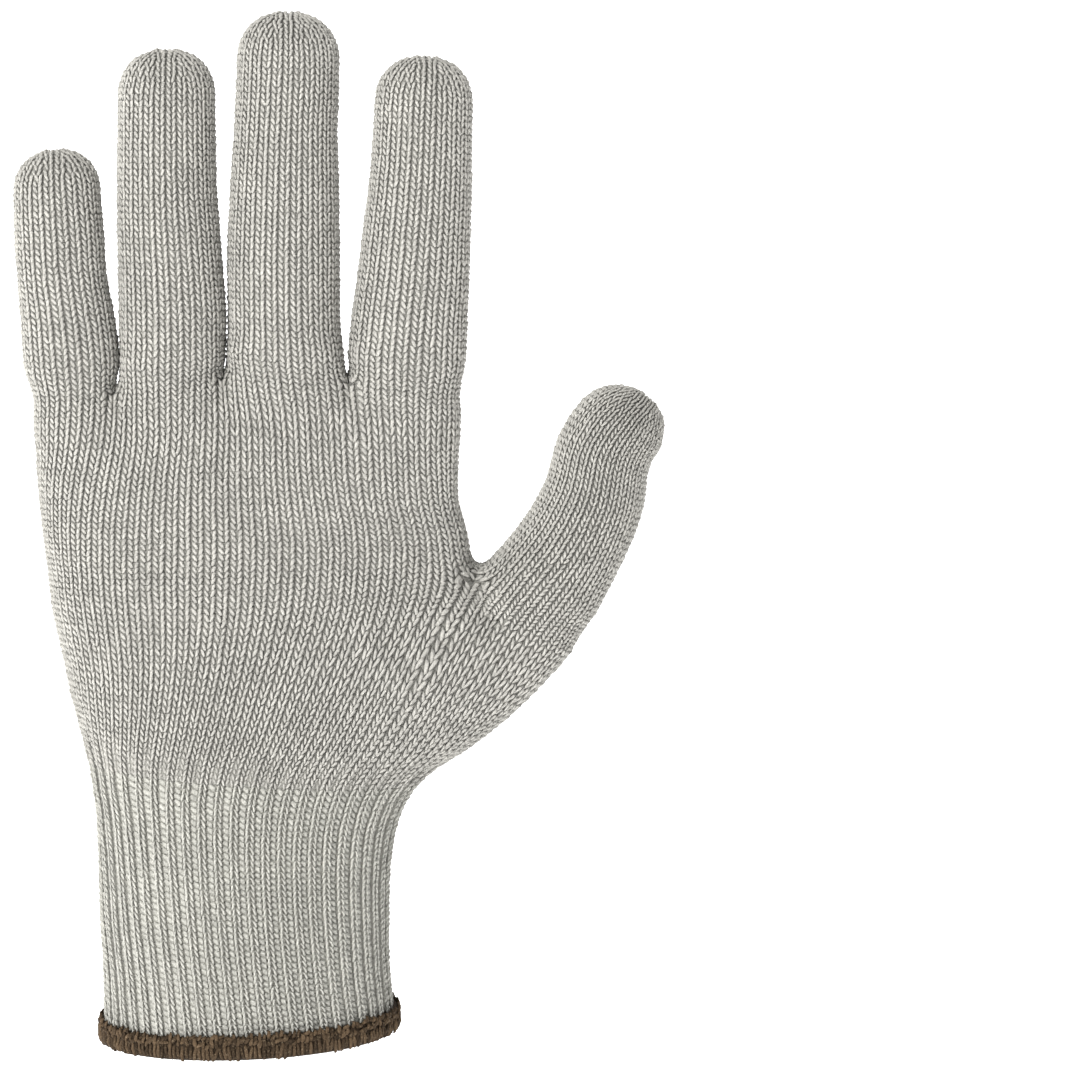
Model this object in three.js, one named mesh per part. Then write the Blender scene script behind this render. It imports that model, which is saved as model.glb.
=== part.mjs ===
// A seamless knit work glove for the left hand, filled out as it is when worn.
// Millimetres, +Z up towards the fingertips, +X towards the thumb, the back of the hand facing -Y.
// The origin is the centre of the wrist opening, level with the bottom of the overcast edge.
//
// The glove is knitted as open tubes that continue into each other: four fingers on a
// four-finger palm, the thumb beside it, both on a five-finger palm, then the rib cuff.
// Every tube is a stack of rings. A ring starts at its little finger side, runs over the
// back of the hand to its thumb side and returns over the palm of the hand.
import * as THREE from "three";

// Fabric
const knitWall = 1.4;
const ribWall = 1.8;
const pieceGap = 0.3;

// Rib cuff
const cuffHalfWidth = 35.2;
const cuffHalfDepth = 25;
const wristHeight = 69;
const wristDrop = 5;
const wristLeft = 38.3;
const wristRight = 40.3;
const wristHalfDepth = 23;
const ribCount = 52;
const ribRelief = 0.45;

// Overcast edge
const edgeHeight = 5.6;
const edgeFloor = 2.4;
const edgeWall = 1.1;
const hemRise = 2.4;

// Palm
const palmWidth = 102.3;
const palmHalfDepth = 16.5;
const palmHeight = 160.3;
const thumbCrotchHeight = 112.9;
const thumbCrotchRise = 1.5;
const thumbCrotchFlare = 3.6;
const thumbCrotchBack = 4;
const ballOfThumb = 4;
const crotchValley = 14;

// Fingers
const littleLength = 58.8;
const littleWidth = 20.6;
const ringLength = 79.5;
const ringWidth = 23.3;
const middleLength = 87;
const middleWidth = 24.2;
const indexLength = 79;
const indexWidth = 23.5;
const fingerDome = 0.465;

// Root is the width between crotches as a share of the palm's width, and deep a share of the
// finger's own width. Lean is how far the centre line travels sideways from root to tip and
// curl how far it travels to the palm of the hand, as shares of the finger's length.
const fingers = [
  {
    name: "little_finger",
    length: littleLength,
    wide: littleWidth,
    root: 0.2014,
    deep: 0.893,
    lean: -0.071,
    curl: 0.051,
  },
  {
    name: "ring_finger",
    length: ringLength,
    wide: ringWidth,
    root: 0.2463,
    deep: 0.901,
    lean: -0.01,
    curl: 0.05,
  },
  {
    name: "middle_finger",
    length: middleLength,
    wide: middleWidth,
    root: 0.2825,
    deep: 0.909,
    lean: 0.007,
    curl: 0.046,
  },
  {
    name: "index_finger",
    length: indexLength,
    wide: indexWidth,
    root: 0.2698,
    deep: 0.911,
    lean: 0.062,
    curl: 0.038,
  },
];
// How far the outer side, the three crotches and the thumb side lie below the palm's full
// height, as shares of its height above the thumb crotch.
const rootDrops = [0.122, 0.093, 0, 0.034, 0.086];

// Thumb
const thumbRoot = 31;
const thumbRootTurn = 31;
const thumbWide = 25;
const thumbDeep = 27;
const thumbLength = 57;
const thumbSquare = 2.6;

// Each finger's centre line and width along its length: bow and wide are shares of its width.
const fingerRows = {
  little_finger: [
    { at: 0, bow: 0, wide: 1.04, deep: 1.08 },
    { at: 0.16, bow: 0.006, wide: 1.1, deep: 1.08 },
    { at: 0.33, bow: -0.002, wide: 1.07, deep: 1.05 },
    { at: 0.5, bow: -0.03, wide: 1.02, deep: 1.03 },
    { at: 0.66, bow: -0.024, wide: 1.02, deep: 1 },
    { at: 0.83, bow: -0.016, wide: 0.99, deep: 0.96 },
    { at: 1, bow: 0, wide: 0.97, deep: 0.9 },
  ],
  ring_finger: [
    { at: 0, bow: 0, wide: 1.09, deep: 1.06 },
    { at: 0.11, bow: 0.016, wide: 1.08, deep: 1.08 },
    { at: 0.23, bow: 0.02, wide: 1.09, deep: 1.08 },
    { at: 0.35, bow: 0.009, wide: 1.06, deep: 1.06 },
    { at: 0.47, bow: -0.008, wide: 1.04, deep: 1.04 },
    { at: 0.58, bow: -0.019, wide: 1.01, deep: 1 },
    { at: 0.76, bow: -0.016, wide: 0.99, deep: 0.97 },
    { at: 1, bow: 0, wide: 0.97, deep: 0.9 },
  ],
  middle_finger: [
    { at: 0, bow: 0, wide: 1.16, deep: 1.06 },
    { at: 0.09, bow: -0.013, wide: 1.12, deep: 1.08 },
    { at: 0.19, bow: -0.027, wide: 1.1, deep: 1.08 },
    { at: 0.36, bow: -0.033, wide: 1.1, deep: 1.06 },
    { at: 0.57, bow: -0.025, wide: 1.05, deep: 1.02 },
    { at: 0.68, bow: -0.019, wide: 1.01, deep: 0.99 },
    { at: 0.84, bow: 0, wide: 1, deep: 0.96 },
    { at: 1, bow: 0, wide: 0.99, deep: 0.9 },
  ],
  index_finger: [
    { at: 0, bow: 0, wide: 1.18, deep: 1.06 },
    { at: 0.11, bow: -0.005, wide: 1.2, deep: 1.1 },
    { at: 0.23, bow: -0.002, wide: 1.17, deep: 1.1 },
    { at: 0.35, bow: 0.01, wide: 1.13, deep: 1.08 },
    { at: 0.47, bow: 0.014, wide: 1.09, deep: 1.05 },
    { at: 0.59, bow: 0.018, wide: 1.05, deep: 1.02 },
    { at: 0.71, bow: 0.014, wide: 1.01, deep: 0.99 },
    { at: 0.86, bow: 0, wide: 0.99, deep: 0.96 },
    { at: 1, bow: 0, wide: 0.98, deep: 0.9 },
  ],
};

// The thumb's centre line from its root: out, back and up are shares of its length, turn is
// how far it leans from upright in degrees, wide and deep are shares of its width and depth.
const thumbRows = [
  { at: 0, out: 0, back: 0, up: 0, turn: 31, wide: 1.2, deep: 1.08 },
  { at: 0.26, out: 0.165, back: 0.053, up: 0.218, turn: 27, wide: 1.05, deep: 1 },
  { at: 0.49, out: 0.27, back: 0.105, up: 0.423, turn: 19, wide: 0.99, deep: 0.9 },
  { at: 0.71, out: 0.325, back: 0.175, up: 0.623, turn: 20, wide: 0.93, deep: 0.84 },
  { at: 0.886, out: 0.425, back: 0.219, up: 0.761, turn: 36, wide: 0.9, deep: 0.78 },
  { at: 1, out: 0.52, back: 0.246, up: 0.837, turn: 42, wide: 0.88, deep: 0.72 },
];

// The hand tube. Level -1 is the wrist, 0 the thumb crotch and 1 the finger roots. Open goes
// from the wrist's reach to the palm's on the little finger side, right is the palm's reach
// on the thumb side, and square how flat its front and back are.
const handRows = [
  { at: -1, open: 0, right: 1, square: 2.2 },
  { at: -0.5, open: 0.41, right: 1, square: 2.5 },
  { at: 0, open: 0.7, right: 1, square: 2.8 },
  { at: 0.25, open: 0.8, right: 0.99, square: 2.9 },
  { at: 0.5, open: 0.87, right: 0.978, square: 3 },
  { at: 0.75, open: 0.93, right: 0.985, square: 3 },
  { at: 1, open: 1, right: 1, square: 3 },
];

// The thumb side below the crotch, from the wrist line to the thumb's root.
const thumbSideRows = [
  { at: -1, out: 0, up: 0, lift: 0, back: 0, ball: 0 },
  { at: -0.75, out: 0.305, up: 0.21, lift: 0.1, back: 0.2, ball: 0.55 },
  { at: -0.5, out: 0.575, up: 0.455, lift: 0.35, back: 0.5, ball: 1 },
  { at: -0.25, out: 0.815, up: 0.73, lift: 0.68, back: 0.8, ball: 0.8 },
  { at: 0, out: 1, up: 1, lift: 1, back: 1, ball: 0.3 },
];

// The cuff from the edge to the wrist: left, right and deep are shares of its own half
// width and depth, toWrist how far it has opened to the wrist's reach.
const cuffRows = [
  { at: 0, left: 0.985, right: 1, deep: 1, toWrist: 0 },
  { at: 0.24, left: 0.99, right: 0.965, deep: 0.97, toWrist: 0 },
  { at: 0.42, left: 1.01, right: 0.963, deep: 0.95, toWrist: 0 },
  { at: 0.61, left: 1.015, right: 0.965, deep: 0.94, toWrist: 0.02 },
  { at: 0.77, left: 1.02, right: 0.985, deep: 0.94, toWrist: 0.1 },
  { at: 0.86, left: 1.02, right: 1.0, deep: 0.94, toWrist: 0.32 },
  { at: 1, left: 1.03, right: 1.05, deep: 0.94, toWrist: 1 },
];

// How finely the rings are drawn, in segments
const fingerSegments = 7;
const crotchSegments = 1;
const thumbSegments = 8;
const thumbCrotchSegments = 2;
const drawnSteps = 96;
const ribSteps = 3;

const back = new THREE.Vector3(0, 1, 0);
const up = new THREE.Vector3(0, 0, 1);
const radians = THREE.MathUtils.degToRad;
const mix = THREE.MathUtils.lerp;

// A column of a table at a place between its rows, on a smooth curve through them.
function read(table, column, at) {
  const last = table.length - 1;
  let i = 0;
  while (i < last - 1 && at > table[i + 1].at) i++;
  const slope = (k) => {
    const before = table[Math.max(k - 1, 0)];
    const after = table[Math.min(k + 1, last)];
    return (after[column] - before[column]) / (after.at - before.at);
  };
  const span = table[i + 1].at - table[i].at;
  const t = THREE.MathUtils.clamp((at - table[i].at) / span, 0, 1);
  const rise = table[i + 1][column] - table[i][column];
  const start = slope(i) * span;
  const end = slope(i + 1) * span;
  const bend = 3 * rise - 2 * start - end;
  const twist = start + end - 2 * rise;
  return table[i][column] + t * (start + t * (bend + t * twist));
}

const ease = (t) => {
  const s = THREE.MathUtils.clamp(t, 0, 1);
  return s * s * (3 - 2 * s);
};

// Points at equal distances along an open line, both ends included.
function spaced(line, segments) {
  const lengths = [0];
  for (let i = 1; i < line.length; i++) lengths.push(lengths[i - 1] + line[i].distanceTo(line[i - 1]));
  const points = [];
  let k = 1;
  for (let i = 0; i <= segments; i++) {
    const wanted = (lengths[line.length - 1] * i) / segments;
    while (k < line.length - 1 && lengths[k] < wanted) k++;
    const share = (wanted - lengths[k - 1]) / (lengths[k] - lengths[k - 1]);
    points.push(line[k - 1].clone().lerp(line[k], share));
  }
  return points;
}

// A ring from a centre line that runs from its left end to its right end, with a depth to
// the front and to the back of each place on it.
function ring(middle, frontDepth, backDepth, halfSegments) {
  const front = [];
  const rear = [];
  for (let i = 0; i <= drawnSteps; i++) {
    const share = (1 - Math.cos((Math.PI * i) / drawnSteps)) / 2;
    front.push(middle(share).addScaledVector(back, -frontDepth(share)));
    rear.push(middle(share).addScaledVector(back, backDepth(share)));
  }
  return [...spaced(front, halfSegments).slice(0, -1), ...spaced(rear.reverse(), halfSegments).slice(0, -1)];
}

// The share of the full depth at a share of the width, 1 in the middle and 0 at the ends.
const roundness = (share, square) => (1 - Math.abs(2 * share - 1) ** square) ** (1 / square);

function oval(centre, right, halfWidth, halfDepth, square, halfSegments) {
  const middle = (share) => centre.clone().addScaledVector(right, halfWidth * (2 * share - 1));
  const depth = (share) => halfDepth * roundness(share, square);
  return ring(middle, depth, depth, halfSegments);
}

// Places where the fingers meet
const palmHalfWidth = palmWidth / 2;
const palmLength = palmHeight - thumbCrotchHeight;
const rootHeights = rootDrops.map((drop) => palmHeight - drop * palmLength);
const crotches = [-palmHalfWidth];
for (const f of fingers) crotches.push(crotches[crotches.length - 1] + f.root * palmWidth);

function rootHeight(x) {
  let i = 0;
  while (i < fingers.length - 1 && x > crotches[i + 1]) i++;
  const share = THREE.MathUtils.clamp((x - crotches[i]) / (crotches[i + 1] - crotches[i]), 0, 1);
  return mix(rootHeights[i], rootHeights[i + 1], share);
}

// The width and depth left at a share of a fingertip's dome. The last ring is a short seam.
const domeSquare = 2.25;
const seamShare = 0.985;
const domeWidth = (share) => (1 - (seamShare * share) ** domeSquare) ** (1 / domeSquare);
const domeDepth = (share) => Math.sqrt(Math.max(0, 1 - share ** 2));
const rootBlend = 0.16;
const palmSquare = 3;
const tipSquare = 2.15;

function fingerRing(index, at) {
  const f = fingers[index];
  const rows = fingerRows[f.name];
  const isOuter = index === 0 || index === fingers.length - 1;
  const halfSegments = fingerSegments + crotchSegments * (isOuter ? 1 : 2);
  const domeStart = 1 - (fingerDome * f.wide) / f.length;
  const dome = Math.max(0, (at - domeStart) / (1 - domeStart));
  const away = ease(at / rootBlend);
  const left = new THREE.Vector3(crotches[index], 0, rootHeights[index]);
  const right = new THREE.Vector3(crotches[index + 1], 0, rootHeights[index + 1]);
  const rootAcross = right.clone().sub(left).normalize();
  const lean = Math.atan(f.lean);
  const across = rootAcross.lerp(new THREE.Vector3(Math.cos(lean), 0, -Math.sin(lean)), away).normalize();
  const centre = left.clone().lerp(right, 0.5);
  centre.x += f.lean * f.length * at + read(rows, "bow", at) * f.wide;
  centre.y += f.curl * f.length * at * at;
  centre.z += f.length * at;
  const halfWidth = (mix(f.root * palmWidth, f.wide * read(rows, "wide", at), away) - pieceGap) / 2;
  const halfDepth = (f.deep * f.wide * read(rows, "deep", at)) / 2;
  return oval(
    centre,
    across,
    halfWidth * domeWidth(dome),
    halfDepth * domeDepth(dome),
    mix(palmSquare, tipSquare, away),
    halfSegments,
  );
}

// The hand's outline at a level, with its thumb side still closed where the thumb joins
const thumbCrotch = new THREE.Vector3(
  palmHalfWidth + thumbCrotchFlare,
  thumbCrotchBack,
  thumbCrotchHeight + thumbCrotchRise,
);
const rootTurn = radians(thumbRootTurn);
const thumbAcross = new THREE.Vector3(Math.cos(rootTurn), 0, -Math.sin(rootTurn));
const thumbRootCentre = thumbCrotch.clone().addScaledVector(thumbAcross, thumbRoot / 2);
const handLeft = (level) => mix(-wristLeft, -palmHalfWidth, read(handRows, "open", level));

// The palm thins towards the depth of the finger roots.
const [, ringFinger] = fingers;
const rootHalfDepth = (ringFinger.deep * ringFinger.wide) / 2;
const thinningCurve = 1.3;
function handDepth(level) {
  const heel = mix(wristHalfDepth, palmHalfDepth, Math.min(1, level + 1));
  return mix(heel, rootHalfDepth, Math.max(0, level) ** thinningCurve);
}

// How far up the palm the thumb crotch's flare and its set-back reach, in levels
const flareReach = 0.45;
const setBackReach = 0.7;

function palmHull(level, halfSegments) {
  const flare = thumbCrotchFlare * (1 - ease(level / flareReach));
  const left = handLeft(level);
  const right = palmHalfWidth * read(handRows, "right", level) + flare;
  const setBack = thumbCrotchBack * (1 - ease(level / setBackReach));
  const middle = (share) => {
    const x = mix(left, right, share);
    const low = thumbCrotchHeight + thumbCrotchRise * share;
    return new THREE.Vector3(x, setBack * ease(2 * share - 1), mix(low, rootHeight(x), level));
  };
  const depth = (share) => handDepth(level) * roundness(share, read(handRows, "square", level));
  return ring(middle, depth, depth, halfSegments);
}

const palmHalf = fingers.length * fingerSegments;
const palmPart = palmHalf - thumbCrotchSegments;
const handHalf = palmPart + thumbSegments;
const fingerStart = (index) => (index === 0 ? 0 : crotchSegments);

const valleyCurve = 1.8;

// The finger roots' front and back sides, joined into one scalloped ring.
function scallopedRing() {
  const points = Array.from({ length: 2 * palmHalf }, () => []);
  fingers.forEach((_, index) => {
    const loop = fingerRing(index, 0);
    for (let i = 0; i <= fingerSegments; i++) {
      const place = index * fingerSegments + i;
      const start = fingerStart(index) + i;
      points[place % points.length].push(loop[start % loop.length]);
      points[(points.length - place) % points.length].push(loop[(loop.length - start) % loop.length]);
    }
  });
  return points.map(meanPoint);
}

const meanPoint = (list) =>
  list.reduce((sum, p) => sum.add(p), new THREE.Vector3()).divideScalar(list.length);
const mixRings = (a, b, share) => a.map((p, i) => p.clone().lerp(b[i], share));

function palmRing(level) {
  const valley = crotchValley / palmLength;
  const share = THREE.MathUtils.clamp((level - 1 + valley) / valley, 0, 1) ** valleyCurve;
  return mixRings(palmHull(level, palmHalf), scallopedRing(), share);
}

function thumbRing(at) {
  const centre = thumbRootCentre.clone();
  centre.x += thumbLength * read(thumbRows, "out", at);
  centre.y += thumbLength * read(thumbRows, "back", at);
  centre.z += thumbLength * read(thumbRows, "up", at);
  const away = ease(at / rootBlend);
  const turn = radians(mix(thumbRootTurn, read(thumbRows, "turn", at), away));
  const across = new THREE.Vector3(Math.cos(turn), 0, -Math.sin(turn));
  const domeStart = 1 - (fingerDome * thumbWide) / thumbLength;
  const dome = Math.max(0, (at - domeStart) / (1 - domeStart));
  const halfWidth = (mix(thumbRoot, thumbWide * read(thumbRows, "wide", at), away) - pieceGap) / 2;
  const halfDepth = (thumbDeep * read(thumbRows, "deep", at)) / 2;
  return oval(
    centre,
    across,
    halfWidth * domeWidth(dome),
    halfDepth * domeDepth(dome),
    mix(thumbSquare, tipSquare, away),
    thumbSegments + thumbCrotchSegments,
  );
}

// The palm's lowest ring and the thumb's root, joined at the thumb crotch.
function forkedRing() {
  const palm = palmRing(0);
  const thumb = thumbRing(0);
  const points = Array.from({ length: 2 * handHalf }, () => []);
  const place = (i, p) => points[(i + points.length) % points.length].push(p);
  for (let i = 0; i <= palmPart; i++) {
    place(i, palm[i]);
    if (i > 0) place(-i, palm[palm.length - i]);
  }
  for (let i = 0; i <= thumbSegments; i++) {
    place(palmPart + i, thumb[thumbCrotchSegments + i]);
    if (i < thumbSegments) place(-palmPart - i, thumb[thumb.length - thumbCrotchSegments - i]);
  }
  return points.map(meanPoint);
}

// The thumb crotch's place across the hand, where its saddle begins below it, and the places
// across the hand between which the thumb side turns towards the palm of the hand.
const kneeShare = 0.79;
const forkStart = -0.5;
const forkCurve = 1.6;
const saddleCurve = 1.2;
const turnStart = 0.45;
const turnEnd = 0.85;

function handRing(level) {
  const left = new THREE.Vector3(handLeft(level), 0, mix(wristHeight, thumbCrotchHeight, level + 1));
  const wristEnd = new THREE.Vector3(wristRight, 0, wristHeight - wristDrop);
  const thumbEnd = thumbRootCentre.clone().addScaledVector(thumbAcross, thumbRoot / 2);
  const right = new THREE.Vector3(
    mix(wristEnd.x, thumbEnd.x, read(thumbSideRows, "out", level)),
    mix(wristEnd.y, thumbEnd.y, read(thumbSideRows, "back", level)),
    mix(wristEnd.z, thumbEnd.z, read(thumbSideRows, "up", level)),
  );
  const knee = mix(thumbCrotchHeight, thumbEnd.z, kneeShare);
  const lift = (thumbCrotch.z - knee) * read(thumbSideRows, "lift", level);
  const square = read(handRows, "square", level);
  const ball = ballOfThumb * read(thumbSideRows, "ball", level);
  const middle = (share) => {
    const rise = Math.min(share / kneeShare, (1 - share) / (1 - kneeShare));
    const point = left.clone().lerp(right, share);
    point.y = right.y * ease((share - turnStart) / (turnEnd - turnStart));
    return point.addScaledVector(up, lift * Math.sin((rise * Math.PI) / 2) ** saddleCurve);
  };
  const front = (share) => handDepth(level) * roundness(share, square);
  const rear = (share) => front(share) + ball * roundness(share, square) * ease(share / kneeShare);
  const hull = ring(middle, front, rear, handHalf);
  const share = THREE.MathUtils.clamp((level - forkStart) / -forkStart, 0, 1) ** forkCurve;
  return mixRings(hull, forkedRing(), share);
}

const cuffSquare = 2.05;

// The cuff's ring at a share of its height, before its ribs are raised.
function cuffRing(at, halfSegments) {
  const toWrist = read(cuffRows, "toWrist", at);
  const left = mix(cuffHalfWidth * read(cuffRows, "left", at), wristLeft, toWrist);
  const right = mix(cuffHalfWidth * read(cuffRows, "right", at), wristRight, toWrist);
  const deep = mix(cuffHalfDepth * read(cuffRows, "deep", at), wristHalfDepth, toWrist);
  const height = mix(edgeFloor + pieceGap, wristHeight - pieceGap, at);
  const slope = mix(hemRise, -wristDrop, at);
  const middle = (share) => new THREE.Vector3(mix(-left, right, share), 0, height + slope * share);
  const depth = (share) => deep * roundness(share, mix(cuffSquare, read(handRows, "square", -1), at));
  return ring(middle, depth, depth, halfSegments);
}

// Faces between rings that have the same number of points. A ring that is pinched into a
// seam counts its front and back points as one.
function stripFaces(rings, count, isSeamed) {
  const faces = [];
  const corner = (r, i) => {
    const around = i % count;
    return r * count + (isSeamed && r === rings - 1 ? Math.min(around, count - around) : around);
  };
  for (let r = 0; r < rings - 1; r++) {
    for (let i = 0; i < count; i++) {
      const [a, b, c, d] = [corner(r, i), corner(r, i + 1), corner(r + 1, i + 1), corner(r + 1, i)];
      if (a !== b) faces.push(a, b, c);
      if (c !== d) faces.push(a, c, d);
    }
  }
  return faces;
}

function toGeometry(points, faces) {
  const geometry = new THREE.BufferGeometry().setFromPoints(points);
  geometry.setIndex(faces);
  return geometry;
}

// The direction square to a ring at one of its points, from the line midway between its
// front and its back.
function rimUp(loop, index) {
  const half = loop.length / 2;
  const place = Math.min(index, loop.length - index);
  const middle = (i) => loop[i].clone().lerp(loop[(loop.length - i) % loop.length], 0.5);
  const along = middle(Math.min(place + 1, half)).sub(middle(Math.max(place - 1, 0)));
  return along.cross(back).normalize();
}

// Moves each point of a stack of rings inwards by the fabric's thickness. The first ring,
// and the last one of an open tube, move along their rims, so that neighbours still meet.
function innerRings(rings, wall, isSeamed) {
  const count = rings[0].length;
  const geometry = toGeometry(rings.flat(), stripFaces(rings.length, count, isSeamed));
  geometry.computeVertexNormals();
  const normals = geometry.getAttribute("normal");
  return rings.map((loop, r) =>
    loop.map((point, i) => {
      const isPinched = isSeamed && r === rings.length - 1;
      const normal = new THREE.Vector3().fromBufferAttribute(
        normals,
        r * count + (isPinched ? Math.min(i, count - i) : i),
      );
      if (r === 0 || (!isSeamed && r === rings.length - 1)) {
        const along = rimUp(loop, i);
        normal.addScaledVector(along, -normal.dot(along)).normalize();
      }
      return point.clone().addScaledVector(normal, -wall);
    }),
  );
}

// The level direction out of a ring at one of its points.
function outward(loop, index) {
  const before = loop[(index + loop.length - 1) % loop.length];
  const along = loop[(index + 1) % loop.length].clone().sub(before);
  return new THREE.Vector3(along.y, -along.x, 0).normalize();
}

// A tube of fabric: outer skin, inner skin and a rim at each open end. Relief moves both
// skins out by a length of its own at each place around the tube.
function tube(rings, wall, isSeamed, relief = () => 0) {
  const count = rings[0].length;
  const raised = (loop, r) =>
    loop.map((p, i) => p.clone().addScaledVector(outward(rings[r], i), relief(i)));
  const outer = rings.map(raised);
  const inner = innerRings(rings, wall, isSeamed).map(raised);
  const skin = stripFaces(rings.length, count, isSeamed);
  const shift = rings.length * count;
  const faces = [...skin];
  for (let i = 0; i < skin.length; i += 3) {
    faces.push(skin[i] + shift, skin[i + 2] + shift, skin[i + 1] + shift);
  }
  for (let i = 0; i < count; i++) {
    const next = (i + 1) % count;
    faces.push(i, shift + i, shift + next, i, shift + next, next);
    if (isSeamed) continue;
    const top = (rings.length - 1) * count;
    faces.push(top + i, shift + top + next, shift + top + i, top + i, top + next, shift + top + next);
  }
  return toGeometry([...outer.flat(), ...inner.flat()], faces);
}

const shares = (steps, from = 0, to = 1) =>
  Array.from({ length: steps + 1 }, (_, i) => mix(from, to, i / steps));

// Rings up a finger or the thumb, closer together in the tip's dome.
function tipShares(domeStart, bodySteps, domeSteps) {
  const dome = shares(domeSteps).map((s) => mix(domeStart, 1, Math.sin((s * Math.PI) / 2)));
  return [...shares(bodySteps, 0, domeStart), ...dome.slice(1)];
}

// Leaves the gap to the piece below at the start of a tube, along the tube itself.
function trimStart(rings) {
  const [first, second, ...others] = rings;
  const trimmed = first.map((p, i) => {
    const along = second[i].clone().sub(p).normalize();
    return p.clone().addScaledVector(along, pieceGap);
  });
  return [trimmed, second, ...others];
}

function knitMaterial(color) {
  return new THREE.MeshStandardMaterial({ color, roughness: 0.92, metalness: 0 });
}
const greyKnit = knitMaterial(0xb9b9b1);
const greyRib = knitMaterial(0xb4b5ae);
const brownThread = knitMaterial(0x5b4a39);

function piece(name, geometry, material) {
  geometry.computeVertexNormals();
  const mesh = new THREE.Mesh(geometry, material);
  mesh.name = name;
  return mesh;
}

// Fingers
const fingerSteps = { body: 7, dome: 3 };
const fingerPieces = fingers.map((f, index) => {
  const domeStart = 1 - (fingerDome * f.wide) / f.length;
  const rings = tipShares(domeStart, fingerSteps.body, fingerSteps.dome).map((at) => fingerRing(index, at));
  return piece(f.name, tube(trimStart(rings), knitWall, true), greyKnit);
});

// Thumb
const thumbDomeStart = 1 - (fingerDome * thumbWide) / thumbLength;
const thumbRings = tipShares(thumbDomeStart, fingerSteps.body, fingerSteps.dome).map(thumbRing);
const thumb = piece("thumb", tube(trimStart(thumbRings), knitWall, true), greyKnit);

// Palm above and below the thumb crotch
const palmLevels = [0, 0.2, 0.42, 0.64, 0.82, 0.93, 1];
const upperPalm = piece("upper_palm", tube(trimStart(palmLevels.map(palmRing)), knitWall, false), greyKnit);
const handLevels = [-1, -0.8, -0.6, -0.4, -0.2, -0.07, 0];
const lowerPalm = piece("lower_palm", tube(handLevels.map(handRing), knitWall, false), greyKnit);

// Rib cuff
const cuffShares = [0, 0.42, 0.7, 0.87, 1];
const ribWave = [1, -0.5, -0.5];
const cuffRings = cuffShares.map((at) => cuffRing(at, (ribCount * ribSteps) / 2));
const ribWaveAt = (i) => ribRelief * ribWave[i % ribSteps];
const ribCuff = piece("rib_cuff", tube(cuffRings, ribWall, false, ribWaveAt), greyRib);

// Overcast edge: a rounded channel of thread that the end of the cuff stands in.
const channel = ribWall / 2 + ribRelief + pieceGap;
const edgeReach = channel + edgeWall;
const edgeProfile = [
  { out: channel, at: 0.88 },
  { out: channel + edgeWall * 0.4, at: 1 },
  { out: edgeReach * 0.96, at: 0.8 },
  { out: edgeReach, at: 0.5 },
  { out: edgeReach * 0.8, at: 0.16 },
  { out: edgeReach * 0.36, at: 0 },
];
function edgeOutline() {
  const outer = edgeProfile.map((p) => [p.out, p.at * edgeHeight]);
  const inner = edgeProfile.map((p) => [-p.out, p.at * edgeHeight]).reverse();
  return [...outer, ...inner, [-channel, edgeFloor], [channel, edgeFloor]];
}
const edgeSegments = 52;
function edgeGeometry() {
  const outline = edgeOutline();
  const path = cuffRing(0, edgeSegments / 2);
  const loops = path.map((point, i) =>
    outline.map(([out, height]) => {
      const p = point.clone().addScaledVector(outward(path, i), out - ribWall / 2);
      return p.addScaledVector(up, height - edgeFloor - pieceGap);
    }),
  );
  const count = outline.length;
  const faces = [];
  loops.forEach((_, r) => {
    const next = (r + 1) % loops.length;
    for (let i = 0; i < count; i++) {
      const j = (i + 1) % count;
      faces.push(r * count + i, next * count + j, next * count + i);
      faces.push(r * count + i, r * count + j, next * count + j);
    }
  });
  return toGeometry(loops.flat(), faces);
}
const cuffEdge = piece("cuff_edge", edgeGeometry(), brownThread);

const glove = new THREE.Group();
glove.add(...fingerPieces, thumb, upperPalm, lowerPalm, ribCuff, cuffEdge);
export default glove;
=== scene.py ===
"""A seamless knit work glove for the left hand, its fabric made of single stitches.

Every tube of the glove is worked out as rings of points, a point for each column of stitches.
The stitches stand on a lattice between those rings, over a thin shell that closes the fabric.
"""

import math

import bpy
import numpy as np
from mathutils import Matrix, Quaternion, Vector


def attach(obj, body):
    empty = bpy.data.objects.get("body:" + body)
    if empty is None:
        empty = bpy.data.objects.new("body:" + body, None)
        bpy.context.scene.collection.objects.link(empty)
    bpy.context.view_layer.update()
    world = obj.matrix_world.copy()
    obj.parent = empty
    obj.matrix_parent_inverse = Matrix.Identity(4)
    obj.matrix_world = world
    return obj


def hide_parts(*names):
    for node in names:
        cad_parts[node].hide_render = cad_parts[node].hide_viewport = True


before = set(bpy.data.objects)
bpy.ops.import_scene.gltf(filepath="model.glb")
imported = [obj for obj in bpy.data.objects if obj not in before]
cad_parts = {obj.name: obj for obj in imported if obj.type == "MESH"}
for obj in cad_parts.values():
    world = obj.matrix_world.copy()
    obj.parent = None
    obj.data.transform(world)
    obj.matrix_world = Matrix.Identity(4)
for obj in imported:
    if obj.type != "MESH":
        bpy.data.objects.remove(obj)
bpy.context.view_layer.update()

# Sizes, in metres
KNIT_WALL = 0.0014
RIB_WALL = 0.0018
CUFF_HALF_WIDTH = 0.0352
CUFF_HALF_DEPTH = 0.025
WRIST_HEIGHT = 0.069
WRIST_DROP = 0.005
WRIST_LEFT = 0.0383
WRIST_RIGHT = 0.0403
WRIST_HALF_DEPTH = 0.023
EDGE_FLOOR = 0.0027
HEM_RISE = 0.0024
PALM_WIDTH = 0.1023
PALM_HALF_DEPTH = 0.0165
PALM_HEIGHT = 0.1603
CROTCH_HEIGHT = 0.1129
CROTCH_RISE = 0.0015
CROTCH_FLARE = 0.0036
CROTCH_BACK = 0.004
BALL_OF_THUMB = 0.004
VALLEY = 0.014
THUMB_ROOT = 0.031
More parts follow.
